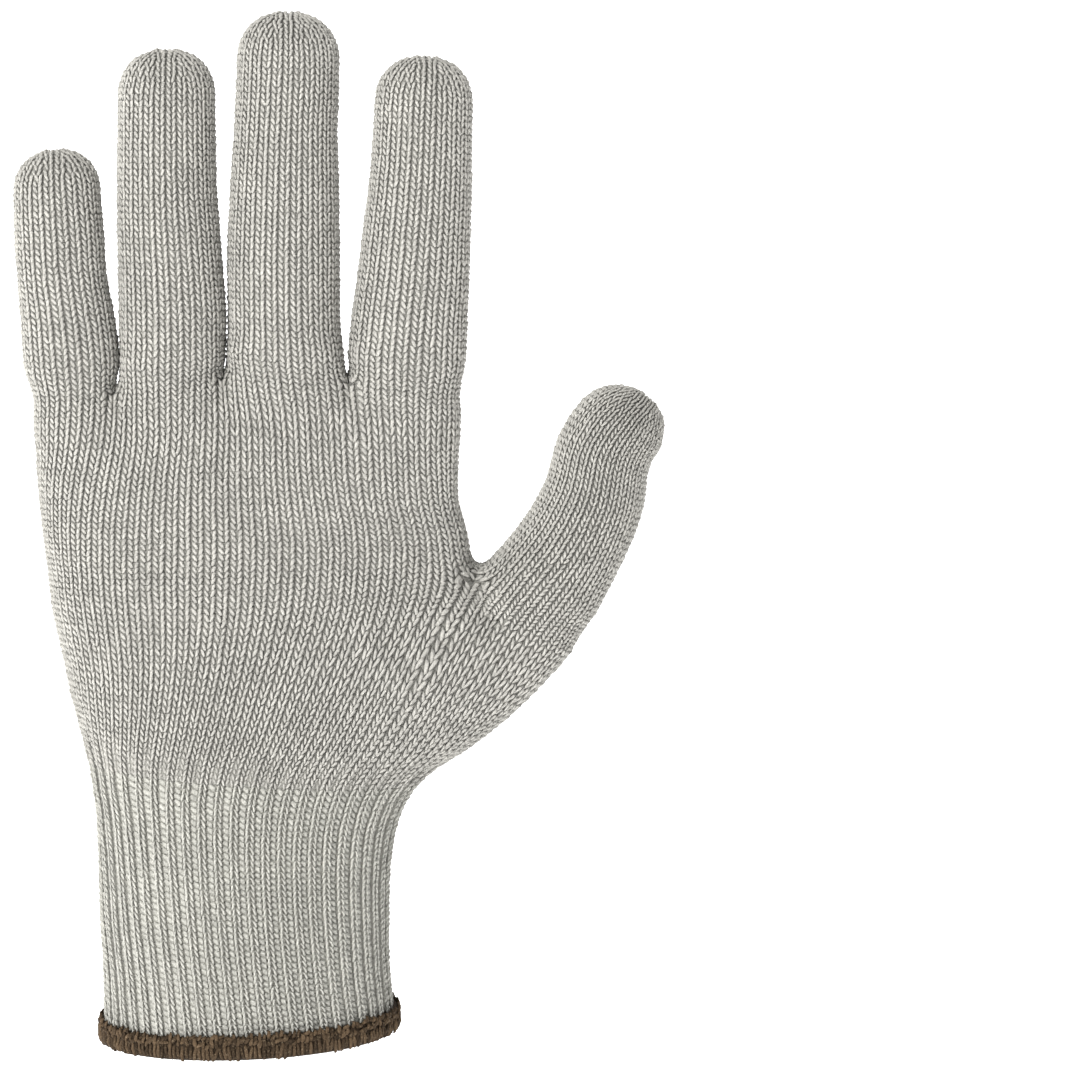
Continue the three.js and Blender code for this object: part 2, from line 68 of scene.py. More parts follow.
THUMB_ROOT_TURN = 31
THUMB_WIDE = 0.025
THUMB_DEEP = 0.027
THUMB_LENGTH = 0.057
FINGER_DOME = 0.465
# How square the tubes' sections are: 2 is an ellipse, and more is squarer.
FINGER_SQUARE = 2.15
FINGER_ROOT_SQUARE = 3
THUMB_ROOT_SQUARE = 2.6
CUFF_SQUARE = 2.05
WRIST_SQUARE = 2.2

# Each finger: length, width, root as a share of the palm's width, depth as a share of the
# width, lean and curl as shares of the length, and its columns of stitches on one side:
# those shared with the palm and those in the crotch to its left and to its right.
FINGERS = {
    "little_finger": (0.0588, 0.0206, 0.2014, 0.893, -0.071, 0.051, 9, 0, 2),
    "ring_finger": (0.0795, 0.0233, 0.2463, 0.901, -0.01, 0.05, 10, 1, 2),
    "middle_finger": (0.087, 0.0242, 0.2825, 0.909, 0.007, 0.046, 11, 1, 2),
    "index_finger": (0.079, 0.0235, 0.2698, 0.911, 0.062, 0.038, 11, 2, 0),
}
ROOT_DROPS = (0.122, 0.093, 0, 0.034, 0.086)

# Tables of shares along each tube. The first column is the place.
FINGER_ROWS = {
    "little_finger": {
        "at": (0, 0.16, 0.33, 0.5, 0.66, 0.83, 1),
        "bow": (0, 0.006, -0.002, -0.03, -0.024, -0.016, 0),
        "wide": (1.04, 1.1, 1.07, 1.02, 1.02, 0.99, 0.97),
        "deep": (1.08, 1.08, 1.05, 1.03, 1, 0.96, 0.9),
    },
    "ring_finger": {
        "at": (0, 0.11, 0.23, 0.35, 0.47, 0.58, 0.76, 1),
        "bow": (0, 0.016, 0.02, 0.009, -0.008, -0.019, -0.016, 0),
        "wide": (1.09, 1.08, 1.09, 1.06, 1.04, 1.01, 0.99, 0.97),
        "deep": (1.06, 1.08, 1.08, 1.06, 1.04, 1, 0.97, 0.9),
    },
    "middle_finger": {
        "at": (0, 0.09, 0.19, 0.36, 0.57, 0.68, 0.84, 1),
        "bow": (0, -0.013, -0.027, -0.033, -0.025, -0.019, 0, 0),
        "wide": (1.16, 1.12, 1.1, 1.1, 1.05, 1.01, 1, 0.99),
        "deep": (1.06, 1.08, 1.08, 1.06, 1.02, 0.99, 0.96, 0.9),
    },
    "index_finger": {
        "at": (0, 0.11, 0.23, 0.35, 0.47, 0.59, 0.71, 0.86, 1),
        "bow": (0, -0.005, -0.002, 0.01, 0.014, 0.018, 0.014, 0, 0),
        "wide": (1.18, 1.2, 1.17, 1.13, 1.09, 1.05, 1.01, 0.99, 0.98),
        "deep": (1.06, 1.1, 1.1, 1.08, 1.05, 1.02, 0.99, 0.96, 0.9),
    },
}
THUMB_ROWS = {
    "at": (0, 0.26, 0.49, 0.71, 0.886, 1),
    "out": (0, 0.165, 0.27, 0.325, 0.425, 0.52),
    "back": (0, 0.053, 0.105, 0.175, 0.219, 0.246),
    "up": (0, 0.218, 0.423, 0.623, 0.761, 0.837),
    "turn": (31, 27, 19, 20, 36, 42),
    "wide": (1.2, 1.05, 0.99, 0.93, 0.9, 0.88),
    "deep": (1.08, 1, 0.9, 0.84, 0.78, 0.72),
}
HAND_ROWS = {
    "at": (-1, -0.5, 0, 0.25, 0.5, 0.75, 1),
    "open": (0, 0.41, 0.7, 0.8, 0.87, 0.93, 1),
    "right": (1, 1, 1, 0.99, 0.978, 0.985, 1),
    "square": (2.2, 2.5, 2.8, 2.9, 3, 3, 3),
}
THUMB_SIDE_ROWS = {
    "at": (-1, -0.75, -0.5, -0.25, 0),
    "out": (0, 0.305, 0.575, 0.815, 1),
    "up": (0, 0.21, 0.455, 0.73, 1),
    "lift": (0, 0.1, 0.35, 0.68, 1),
    "back": (0, 0.2, 0.5, 0.8, 1),
    "ball": (0, 0.55, 1, 0.8, 0.3),
}
CUFF_ROWS = {
    "at": (0, 0.24, 0.42, 0.61, 0.77, 0.86, 1),
    "left": (0.985, 0.99, 1.01, 1.015, 1.02, 1.02, 1.03),
    "right": (1, 0.965, 0.963, 0.965, 0.985, 1, 1.05),
    "deep": (1, 0.97, 0.95, 0.94, 0.94, 0.94, 0.94),
    "to_wrist": (0, 0, 0, 0.02, 0.1, 0.32, 1),
}

# Columns and rows of stitches
THUMB_COLUMNS = 14
THUMB_CROTCH_COLUMNS = 3
COURSE = 0.00146
PALM_COURSES = 30
HEEL_COURSES = 31
CUFF_COURSES = 43
RIB_BIAS = 0.2
RIB_RISE = 0.00015
RIB_SINK = 0.00045
# How far the stitches stand out from the middle of the fabric, which is set back by as much.
RELIEF = 0.0003
# How far the shell lies under the middle of the stitches.
KNIT_SHELL_DEPTH = 0.0003
RIB_SHELL_DEPTH = 0.0006


def mix(a, b, share):
    return a + (b - a) * share


def clamp(value):
    return min(max(value, 0.0), 1.0)


def ease(t):
    s = np.clip(t, 0, 1)
    return s * s * (3 - 2 * s)


def read(table, column, at):
    """A column of a table at a place, on a smooth curve through its rows."""
    places, values = table["at"], table[column]
    last = len(places) - 1
    i = 0
    while i < last - 1 and at > places[i + 1]:
        i += 1

    def slope(k):
        before, after = max(k - 1, 0), min(k + 1, last)
        return (values[after] - values[before]) / (places[after] - places[before])

    span = places[i + 1] - places[i]
    t = clamp((at - places[i]) / span)
    rise = values[i + 1] - values[i]
    start, end = slope(i) * span, slope(i + 1) * span
    return values[i] + t * (start + t * (3 * rise - 2 * start - end + t * (start + end - 2 * rise)))


def run_lengths(line):
    return np.r_[0, np.cumsum(np.linalg.norm(np.diff(line, axis=0), axis=1))]


def points_at(wanted, knots, points):
    return np.stack([np.interp(wanted, knots, points[:, k]) for k in range(3)], 1)


def points_along(line, shares):
    """Points at shares of the length of an open line."""
    lengths = run_lengths(line)
    return points_at(np.asarray(shares) * lengths[-1], lengths, line)


def even(columns):
    return np.linspace(0, 1, columns + 1)


def even_places(columns):
    return np.arange(2 * columns) / columns


def shifted_places(columns, left):
    """Even places, but with that column at the left end of the ring."""
    knots = (-columns, left, columns, 2 * columns + left)
    return np.interp(np.arange(2 * columns), knots, (-1, 0, 1, 2))


def around(front, rear, places):
    """Points of a closed line. A place is 0 to 1 along its front and 1 to 2 along its rear."""
    over, under = run_lengths(front), run_lengths(rear)
    knots = np.r_[over / over[-1], 1 + under[1:] / under[-1]]
    return points_at(np.asarray(places) % 2, knots, np.concatenate([front, rear[1:]]))


def sides(loop):
    """The front and the rear of a ring, each with both of its ends."""
    closed = np.concatenate([loop, loop[:1]])
    return closed[: len(loop) // 2 + 1], closed[len(loop) // 2 :]


def places_of(loop):
    """The place of each column of a ring."""
    over, under = (run_lengths(side) for side in sides(loop))
    return np.r_[over / over[-1], 1 + under[1:-1] / under[-1]]


DRAWN = (1 - np.cos(np.linspace(0, math.pi, 97))) / 2


def ring(middle, front, rear, places):
    """A ring round a centre line: over the back of the hand, and back over the palm."""
    line = middle(DRAWN)
    y = np.array([[0, 1, 0]])
    return around(line - y * front(DRAWN)[:, None], (line + y * rear(DRAWN)[:, None])[::-1], places)


def roundness(share, square):
    return np.maximum(0, 1 - np.abs(2 * share - 1) ** square) ** (1 / square)


DOME_SQUARE = 2.25
SEAM = 0.985


def dome_share(at, wide, length):
    """How far up the dome of a tip a place is: 0 up to its foot and 1 at its top."""
    start = 1 - FINGER_DOME * wide / length
    return max(0.0, (at - start) / (1 - start))


def oval(centre, across, half_width, half_depth, dome, square, columns):
    """A ring of a finger or the thumb, drawn in as far as its dome asks."""
    half_width = half_width * (1 - (SEAM * dome) ** DOME_SQUARE) ** (1 / DOME_SQUARE)
    half_depth = half_depth * math.sqrt(max(0.0, 1 - dome**2))

    def middle(share):
        return centre + across * (half_width * (2 * share - 1))[:, None]

    def depth(share):
        return half_depth * roundness(share, square)

    return ring(middle, depth, depth, even_places(columns))


PALM_HALF = PALM_WIDTH / 2
PALM_LENGTH = PALM_HEIGHT - CROTCH_HEIGHT
ROOT_HEIGHTS = [PALM_HEIGHT - drop * PALM_LENGTH for drop in ROOT_DROPS]
CROTCHES = -PALM_HALF + PALM_WIDTH * np.r_[0, np.cumsum([f[2] for f in FINGERS.values()])]
ROOT_BLEND = 0.16


def turned(degrees):
    angle = math.radians(degrees)
    return np.array([math.cos(angle), 0, -math.sin(angle)])


def finger_ring(name, at):
    length, wide, root, deep, lean, curl, shared, left_wales, right_wales = FINGERS[name]
    index = list(FINGERS).index(name)
    rows = FINGER_ROWS[name]
    away = float(ease(at / ROOT_BLEND))
    left, right = (np.array([CROTCHES[i], 0, ROOT_HEIGHTS[i]]) for i in (index, index + 1))
    across = (right - left) / np.linalg.norm(right - left)
    across = mix(across, turned(math.degrees(math.atan(lean))), away)
    across /= np.linalg.norm(across)
    sideways = lean * length * at + read(rows, "bow", at) * wide
    return oval(
        (left + right) / 2 + np.array([sideways, curl * length * at * at, length * at]),
        across,
        mix(root * PALM_WIDTH, wide * read(rows, "wide", at), away) / 2,
        deep * wide * read(rows, "deep", at) / 2,
        dome_share(at, wide, length),
        mix(FINGER_ROOT_SQUARE, FINGER_SQUARE, away),
        left_wales + shared + right_wales,
    )


CROTCH_POINT = np.array([PALM_HALF + CROTCH_FLARE, CROTCH_BACK, CROTCH_HEIGHT + CROTCH_RISE])
THUMB_ACROSS = turned(THUMB_ROOT_TURN)
THUMB_CENTRE = CROTCH_POINT + THUMB_ACROSS * THUMB_ROOT / 2
ROOT_HALF_DEPTH = FINGERS["ring_finger"][3] * FINGERS["ring_finger"][1] / 2
PALM_COLUMNS = sum(f[6] for f in FINGERS.values())
PALM_PART = PALM_COLUMNS - THUMB_CROTCH_COLUMNS
HAND_COLUMNS = PALM_PART + THUMB_COLUMNS


# The shares of the upper palm over which the thumb crotch's flare and setback fade out.
FLARE_END = 0.45
SET_BACK_END = 0.7


def hand_depth(level):
    heel = mix(WRIST_HALF_DEPTH, PALM_HALF_DEPTH, min(1, level + 1))
    return mix(heel, ROOT_HALF_DEPTH, max(0, level) ** 1.3)


def hand_left(level):
    return mix(-WRIST_LEFT, -PALM_HALF, read(HAND_ROWS, "open", level))


def palm_hull(level, places):
    left = hand_left(level)
    right = PALM_HALF * read(HAND_ROWS, "right", level)
    right += CROTCH_FLARE * (1 - float(ease(level / FLARE_END)))
    set_back = CROTCH_BACK * (1 - float(ease(level / SET_BACK_END)))

    def middle(share):
        x = mix(left, right, share)
        low = CROTCH_HEIGHT + CROTCH_RISE * share
        high = np.interp(x, CROTCHES, ROOT_HEIGHTS)
        return np.stack([x, set_back * ease(2 * share - 1), mix(low, high, level)], 1)

    def depth(share):
        return hand_depth(level) * roundness(share, read(HAND_ROWS, "square", level))

    return ring(middle, depth, depth, places)


def mean_ring(count, places):
    """A ring whose points are the means of those given for each place."""
    total, times = np.zeros((count, 3)), np.zeros(count)
    for place, point in places:
        total[place % count] += point
        times[place % count] += 1
    return total / times[:, None]


def scalloped_ring():
    places = []
    first = 0
    for name, (*_, shared, left_wales, _) in FINGERS.items():
        loop = finger_ring(name, 0)
        for i in range(shared + 1):
            start = left_wales + i
            places.append((first + i, loop[start % len(loop)]))
            places.append((-first - i, loop[-start % len(loop)]))
        first += shared
    return mean_ring(2 * PALM_COLUMNS, places)


SCALLOPS = scalloped_ring()
# Columns run down the hand nearly upright, so that those on the left, where the hand gets
# narrower, go round to the palm side: this many of them by the thumb crotch.
LEFT_SHIFT = 1.5
PALM_PLACES = shifted_places(PALM_COLUMNS, LEFT_SHIFT)


def palm_ring(level):
    valley = VALLEY / PALM_LENGTH
    share = clamp((level - 1 + valley) / valley) ** 1.8
    places = mix(PALM_PLACES, places_of(SCALLOPS), float(ease(level)))
    return mix(palm_hull(level, places), around(*sides(SCALLOPS), places), share)


def thumb_ring(at):
    bend = np.array([read(THUMB_ROWS, column, at) for column in ("out", "back", "up")])
    away = float(ease(at / ROOT_BLEND))
    return oval(
        THUMB_CENTRE + THUMB_LENGTH * bend,
        turned(mix(THUMB_ROOT_TURN, read(THUMB_ROWS, "turn", at), away)),
        mix(THUMB_ROOT, THUMB_WIDE * read(THUMB_ROWS, "wide", at), away) / 2,
        THUMB_DEEP * read(THUMB_ROWS, "deep", at) / 2,
        dome_share(at, THUMB_WIDE, THUMB_LENGTH),
        mix(THUMB_ROOT_SQUARE, FINGER_SQUARE, away),
        THUMB_COLUMNS + THUMB_CROTCH_COLUMNS,
    )


def forked_ring():
    """The palm's lowest ring and the thumb's root, joined at the thumb crotch."""
    palm, thumb = palm_ring(0), thumb_ring(0)
    places = [(i, palm[i]) for i in range(PALM_PART + 1)]
    places += [(-i, palm[-i]) for i in range(1, PALM_PART + 1)]
    for i in range(THUMB_COLUMNS + 1):
        start = THUMB_CROTCH_COLUMNS + i
        places.append((PALM_PART + i, thumb[start]))
        if i < THUMB_COLUMNS:
            places.append((-PALM_PART - i, thumb[-start]))
    return mean_ring(2 * HAND_COLUMNS, places)


FORK = forked_ring()
# The share of the hand's width at which its front bends down towards the thumb.
KNEE = 0.79
WRIST_PLACES = shifted_places(HAND_COLUMNS, LEFT_SHIFT)
CUFF_PLACES = even_places(HAND_COLUMNS) + LEFT_SHIFT / HAND_COLUMNS
# The share of the lower palm that the ribs fade out over.
RIB_FADE = 0.26


def hand_ring(level):
    left = np.array([hand_left(level), 0, mix(WRIST_HEIGHT, CROTCH_HEIGHT, level + 1)])
    wrist_end = np.array([WRIST_RIGHT, 0, WRIST_HEIGHT - WRIST_DROP])
    thumb_end = THUMB_CENTRE + THUMB_ACROSS * THUMB_ROOT / 2
    side = np.array([read(THUMB_SIDE_ROWS, column, level) for column in ("out", "back", "up")])
    right = mix(wrist_end, thumb_end, side)
    knee = mix(CROTCH_HEIGHT, thumb_end[2], KNEE)
    lift = (CROTCH_POINT[2] - knee) * read(THUMB_SIDE_ROWS, "lift", level)
    square = read(HAND_ROWS, "square", level)
    ball = BALL_OF_THUMB * read(THUMB_SIDE_ROWS, "ball", level)

    def middle(share):
        rise = np.minimum(share / KNEE, (1 - share) / (1 - KNEE))
        points = left + (right - left) * share[:, None]
        points[:, 1] = right[1] * ease((share - 0.45) / 0.4)
        points[:, 2] += lift * np.sin(rise * math.pi / 2) ** 1.2
        return points

    def front(share):
        return hand_depth(level) * roundness(share, square)

    def rear(share):
        return front(share) + ball * roundness(share, square) * ease(share / KNEE)

    share = clamp((level + 0.5) / 0.5) ** 1.6
    places = mix(WRIST_PLACES, places_of(FORK), level + 1)
    places[1::2] += RIB_BIAS * float(ease(1 - (level + 1) / RIB_FADE)) / HAND_COLUMNS
    return mix(ring(middle, front, rear, places), around(*sides(FORK), places), share)


def cuff_ring(at):
    to_wrist = read(CUFF_ROWS, "to_wrist", at)
    left = mix(CUFF_HALF_WIDTH * read(CUFF_ROWS, "left", at), WRIST_LEFT, to_wrist)
    right = mix(CUFF_HALF_WIDTH * read(CUFF_ROWS, "right", at), WRIST_RIGHT, to_wrist)
    deep = mix(CUFF_HALF_DEPTH * read(CUFF_ROWS, "deep", at), WRIST_HALF_DEPTH, to_wrist)
    height = mix(EDGE_FLOOR, WRIST_HEIGHT, at)
    slope = mix(HEM_RISE, -WRIST_DROP, at)

    def middle(share):
        return np.stack([mix(-left, right, share), 0 * share, height + slope * share], 1)

    def depth(share):
        return deep * roundness(share, mix(CUFF_SQUARE, WRIST_SQUARE, at))

    # Raised columns are wider than the sunk ones between them.
    places = mix(CUFF_PLACES, WRIST_PLACES, at)
    places[1::2] += RIB_BIAS / HAND_COLUMNS
    return ring(middle, depth, depth, places)


TIP_SHARE = 0.2


def tip_rings(make):
    """The rings of a tube with a closed tip, a stitch apart along the middle of its front."""
    straight = np.linspace(0, 1 - TIP_SHARE, 41)[:-1]
    fine = np.concatenate([straight, 1 - TIP_SHARE * np.linspace(1, 0, 61) ** 1.7])
    loops = [make(at) for at in fine]
    lengths = run_lengths(np.array([loop[len(loop) // 4] for loop in loops]))
    wanted = np.linspace(0, lengths[-1], round(lengths[-1] / COURSE) + 1)
    return np.array([make(at) for at in np.interp(wanted, lengths, fine)])


def unit(vectors):
    return vectors / np.maximum(np.linalg.norm(vectors, axis=-1, keepdims=True), 1e-9)


def cells_of_row(low, high):
    """The cells between two rings: their places, widths across and heights along."""
    low_next, high_next = np.roll(low, -1, 0), np.roll(high, -1, 0)
    place = (low + low_next + high + high_next) / 4
    return place, (low_next + high_next - low - high) / 2, (high + high_next - low - low_next) / 2


def cells_of_tip(low, high, pitch):
    """Upright columns on a tip: as the rings shrink, the outermost ones come to an end."""
    half = len(low) // 2
    found = []
    for first in (0, half):
        lines = [np.concatenate([loop, loop[:1]])[first : first + half + 1] for loop in (low, high)]
        length = (run_lengths(lines[0])[-1] + run_lengths(lines[1])[-1]) / 2
        count = max(half - 2 * round((half - length / pitch) / 2), 2 - half % 2)
        edges = [points_along(line, even(count)) for line in lines]
        across = (edges[0][1:] + edges[1][1:] - edges[0][:-1] - edges[1][:-1]) / 2
        middles = [(edge[1:] + edge[:-1]) / 2 for edge in edges]
        found.append(((middles[0] + middles[1]) / 2, across, middles[1] - middles[0]))
    return [np.concatenate(parts) for parts in zip(*found)]


STITCH_DEPTH = 0.001
LEAST_HEIGHT = 0.0006


def lattice(rings, tip_start=None):
    """Where each stitch stands: place, inward and along directions, and cell size."""
    rows = []
    tip_start = len(rings) if tip_start is None else tip_start
    for r in range(len(rings) - 1):
        if r < tip_start:
            rows.append(cells_of_row(rings[r], rings[r + 1]))
        else:
            start = run_lengths(rings[tip_start][: rings.shape[1] // 2 + 1])[-1]
            rows.append(cells_of_tip(rings[r], rings[r + 1], start / (rings.shape[1] // 2)))
    place, across, along = (np.concatenate(parts) for parts in zip(*rows))
    width = np.linalg.norm(across, axis=1)
    tall = np.maximum(np.linalg.norm(along, axis=1), LEAST_HEIGHT)
    return {
        "place": place,
        "inward": unit(np.cross(along, across)),
        "along": unit(along),
        "size": np.stack([width, 0 * width + STITCH_DEPTH, tall], 1),
        "column": np.concatenate([np.arange(len(row[0])) for row in rows]),
        "row": np.concatenate([np.full(len(row[0]), r) for r, row in enumerate(rows)]),
    }


# How far a point of the net goes, in a round, towards the mean of its neighbours.
UPRIGHT_PULL = 0.5
LEVEL_PULL = 0.12
# How far below the surface a press on the front still reaches.
FRONT_DEPTH = 0.004


class Fabric:
    """All the rings of the glove as one net, so that its columns flow from tube to tube."""

    def __init__(self, tubes):
        self.tubes = tubes
        self.grid = {}
        total = 0
        for name, rings in tubes.items():
            rows, count = rings.shape[:2]
            self.grid[name] = np.arange(rows * count).reshape(rows, count) + total
            total += rows * count
        self.same = np.arange(total)
        self.points = np.concatenate([rings.reshape(-1, 3) for rings in tubes.values()])

    def number(self, tube, row, column):
        grid = self.grid[tube]
        return self.same[grid[row, column % grid.shape[1]]]

    def join(self, first, second):
        """Makes one point of two, each given by its tube, row and column."""
        a, b = self.number(*first), self.number(*second)
        self.same[self.same == max(a, b)] = min(a, b)

    def relax(self, seams, rounds):
        """Rounds the net off where tubes meet.

        seams gives, for each tube, the rows that lie on a join and how many rows from there the
        rounding reaches, which may differ from column to column.
        """
        weight = np.zeros(len(self.same))
        self.points = self.mean(self.points, np.arange(len(self.same)))[0][self.same]
        upright, level = [], []
        for name, grid in self.grid.items():
            ids = self.same[grid]
            rows = np.arange(len(ids))
            found, reach = seams.get(name, ((), 1))
            for row in found:
                near = np.abs(rows - row % len(ids))[:, None] / (np.zeros(ids.shape[1]) + reach)
                np.maximum.at(weight, ids, np.where(near > 2.5, 0, np.exp(-(near**2))))
            upright.append(np.stack([ids[:-1].ravel(), ids[1:].ravel()], 1))
            level.append(np.stack([ids.ravel(), np.roll(ids, -1, 1).ravel()], 1))
        upright, level = np.concatenate(upright), np.concatenate(level)
        for _ in range(rounds):
            for pairs, share in ((upright, UPRIGHT_PULL), (level, LEVEL_PULL)):
                mean, times = self.mean(self.points[pairs[:, ::-1].T.ravel()], pairs.T.ravel())
                pull = np.where(times > 1, weight * share, 0)[:, None]
                self.points = self.points + (mean - self.points) * pull
            self.points = self.points[self.same]

    def press(self, start, end, width, move, front_only=False):
        """Moves the net near a line that is drawn on the picture plane."""
        line = (end - start)[[0, 2]]
        offset = (self.points - start)[:, [0, 2]]
        share = np.clip(offset @ line / max(line @ line, 1e-12), 0, 1)
        away = np.linalg.norm(offset - share[:, None] * line, axis=1)
        pull = np.exp(-((away / width) ** 2))
        if front_only:
            pull = pull * (self.points[:, 1] < start[1] + FRONT_DEPTH)
        self.points = self.points + pull[:, None] * np.array(move)

    def hold_left(self, name, fade, hold):
        """Puts the left outline back to where it was, by a share that hold gives for each row."""
        ids = self.same[self.grid[name]]
        x = self.points[ids][:, :, 0]
        found = x.min(1, keepdims=True)
        wanted = self.tubes[name][:, :, 0].min(1, keepdims=True)
        move = (wanted - found) * np.clip(1 - (x - found) / fade, 0, 1)
        self.points[ids, 0] = x + move * hold[:, None]

    def mean(self, values, ids):
        """The mean of the values that each point gets, and how many they are."""
        total, times = np.zeros((len(self.same), 3)), np.zeros(len(self.same))
        np.add.at(total, self.same[ids], values)
        np.add.at(times, self.same[ids], 1)
        return total / np.maximum(times, 1)[:, None], times

    def rings(self, name):
        return self.points[self.same[self.grid[name]]]

    def normals(self):
        """Outward directions, shared where tubes meet."""
        values, ids = [], []
        for name, grid in self.grid.items():
            rings = self.rings(name)
            across = np.roll(rings, -1, axis=1) - np.roll(rings, 1, axis=1)
            normal = unit(np.cross(across, np.gradient(rings, axis=0)))
            values.append(normal.reshape(-1, 3))
            ids.append(grid.ravel())
        found = unit(self.mean(np.concatenate(values), np.concatenate(ids))[0])
        return {name: found[self.same[grid]] for name, grid in self.grid.items()}


def mesh_from(name, points, faces=(), attributes=None):
    mesh = bpy.data.meshes.new(name)
    mesh.from_pydata([tuple(p) for p in points], [], [tuple(f) for f in faces])
    for key, values in (attributes or {}).items():
        values = np.asarray(values, np.float32)
        kind, field = ("FLOAT", "value") if values.ndim == 1 else ("FLOAT_VECTOR", "vector")
        mesh.attributes.new(key, kind, "POINT").data.foreach_set(field, values.ravel())
    if len(faces):
        mesh.polygons.foreach_set("use_smooth", [True] * len(mesh.polygons))
    mesh.update()
    return mesh


def object_from(name, mesh):
    made = bpy.data.objects.new(name, mesh)
    bpy.context.scene.collection.objects.link(made)
    return made


def helper_from(name, mesh):
    """An object that the stitching reads and no render shows."""
    made = object_from(name, mesh)
    made.hide_render = True
    made.hide_viewport = True
    return made


def plain_surface(count, height):
    """What the yarn materials read on a surface that has no yarn of its own: its height sets how
    much painted shade it gets.
    """
    return {
        "height": np.full(count, height),
        "shade": np.full(count, 0.5),
        "yarn": np.zeros((count, 3)),
    }


def ring_faces(rows, count, shift=0, flip=False):
    faces = []
    for r in range(rows - 1):
        for i in range(count):
            j = (i + 1) % count
            quad = [r * count + i, r * count + j, (r + 1) * count + j, (r + 1) * count + i]
            faces.append([shift + k for k in (quad[::-1] if flip else quad)])
    return faces


# The inner skin has one ring for each of so many of the outer skin's.
INNER_STEP = 3
# The shell rises to the surface over the last rings of a tip, so that no slit shows there.
TIP_DEPTHS = (0.6, 0.1, -0.3)


def shell(name, rings, normals, wall, sink, is_closed):
    """The closed fabric under the stitches: an outer skin, an inner skin and its rims."""
    rows, count = rings.shape[:2]
    depth = np.full((rows, 1, 1), sink)
    if is_closed:
        normals = np.concatenate([normals[:-1], normals[-2:-1]])
        depth[-len(TIP_DEPTHS) :] = sink * np.array(TIP_DEPTHS)[:, None, None]
    outer = rings - normals * depth
    keep = sorted({*range(0, rows, INNER_STEP), rows - 1})
    inner = (rings - normals * wall)[keep]
    points = np.concatenate([outer.reshape(-1, 3), inner.reshape(-1, 3)])
    start = rows * count
    faces = ring_faces(rows, count) + ring_faces(len(keep), count, start, flip=True)
    last_outer, last_inner = (rows - 1) * count, start + (len(keep) - 1) * count
    for i in range(count):
        j = (i + 1) % count
        faces.append((j, i, start + i, start + j))
        if not is_closed:
            faces.append((last_outer + i, last_outer + j, last_inner + j, last_inner + i))
    if is_closed:
        faces.append([last_outer + i for i in range(count)])
        faces.append([last_inner + i for i in range(count)][::-1])
    # At height 0 the shell gets the full painted shade colour, a dark sheet seen in the gaps
    # between the stitches.
    return helper_from(name, mesh_from(name, points, faces, plain_surface(len(points), 0.0)))


# How thick a leg of a stitch is at each of its inner points, and what one of them counts for
# in the turns of its yarn.
SWELL = (0.8, 1.0, 0.8)
YARN_STEPS = 4
# A cell is wider than it is tall, so a leg's slant is worked out on a squashed cell.
CELL_SQUASH = 0.55
SLANT_SPREAD = 1.6


def yarn_leg(path, width, thickness, sides):
    """One visible leg of a stitch, as a closed and tapered length of yarn along a path."""
    path = np.array(path, float)
    points, yarn, faces = [path[0]], [(0, 0, 0)], []
    for row, (centre, scale) in enumerate(zip(path[1:-1], SWELL)):
        direction = path[row + 2] - path[row]
        slant = math.atan2(direction[0], direction[2] * CELL_SQUASH)
        rise = math.sin(slant) * SLANT_SPREAD
        for k in range(sides):
            angle = 2 * math.pi * (k + 0.5) / sides
            side, out = math.cos(angle) * width * scale, math.sin(angle) * thickness * scale
            points.append(centre + np.array([side * math.cos(slant), -out, -side * rise]))
            yarn.append((math.cos(angle), math.sin(angle), (row + 1) / YARN_STEPS))
    points.append(path[-1])
    yarn.append((0, 0, 1))
    rows = len(path) - 2
    for r in range(rows - 1):
        for k in range(sides):
            a, b = 1 + r * sides + k, 1 + r * sides + (k + 1) % sides
            faces.append((a, b, b + sides, a + sides))
    tail = len(points) - 1
    last = 1 + (rows - 1) * sides
    for k in range(sides):
        faces.append((0, 1 + (k + 1) % sides, 1 + k))
        faces.append((last + k, last + (k + 1) % sides, tail))
    return points, faces, yarn


# What a material reads as the height of a stitch's lowest point: the lower the height, the more
# painted shade. The shell's is 0, the most shaded.
LOWEST_YARN = 0.25


def stitch_object(name, legs, sides=4):
    """A stitch of one or more legs, with each point's height over the fabric, which sets its
    painted shade.
    """
    points, faces, yarn = [], [], []
    for leg in legs:
        leg_points, leg_faces, leg_yarn = yarn_leg(*leg, sides)
        faces += [[len(points) + k for k in face] for face in leg_faces]
        points += leg_points
        yarn += leg_yarn
    points = np.array(points)
    out = -points[:, 1]
    height = np.clip((out - out.min()) / (out.max() - out.min()), 0, 1)
    attributes = {"height": mix(LOWEST_YARN, 1, height), "yarn": yarn}
    return helper_from(name, mesh_from(name, points, faces, attributes))


# The legs' points. Across and up are shares of a stitch's own cell, and out is in millimetres,
# as the back of the hand shows them, with the fingers up.
LEFT_LEG = ((-0.34, 0.36, -0.92), (-0.35, 0.0, -0.5), (-0.24, -0.24, 0.22), (-0.08, 0.08, 0.82))
RIGHT_LEG = ((0.38, 0.4, -0.88), (0.37, 0.0, -0.46), (0.2, -0.24, 0.2), (-0.01, 0.04, 0.74))
RIB_LEFT = ((-0.32, 0.26, -0.98), (-0.34, 0.0, -0.5), (-0.27, -0.2, 0.25), (-0.02, -0.14, 0.86))
RIB_RIGHT = ((0.34, 0.32, -0.9), (0.36, 0.0, -0.48), (0.24, -0.2, 0.2), (-0.06, -0.12, 0.78))
PURL = ((-0.75, 0.1, 0.4), (-0.25, -0.02, 0.26), (0.25, -0.02, -0.2), (0.75, 0.1, -0.44))
FIBRE = ((0.0, 0.0, 0.0), (0.02, -0.06, 0.4), (-0.06, -0.4, 0.9))
knit_stitch = stitch_object("knit_stitch", [(LEFT_LEG, 0.185, 0.34), (RIGHT_LEG, 0.18, 0.34)])
rib_stitch = stitch_object("rib_stitch", [(RIB_LEFT, 0.16, 0.3), (RIB_RIGHT, 0.16, 0.3)])
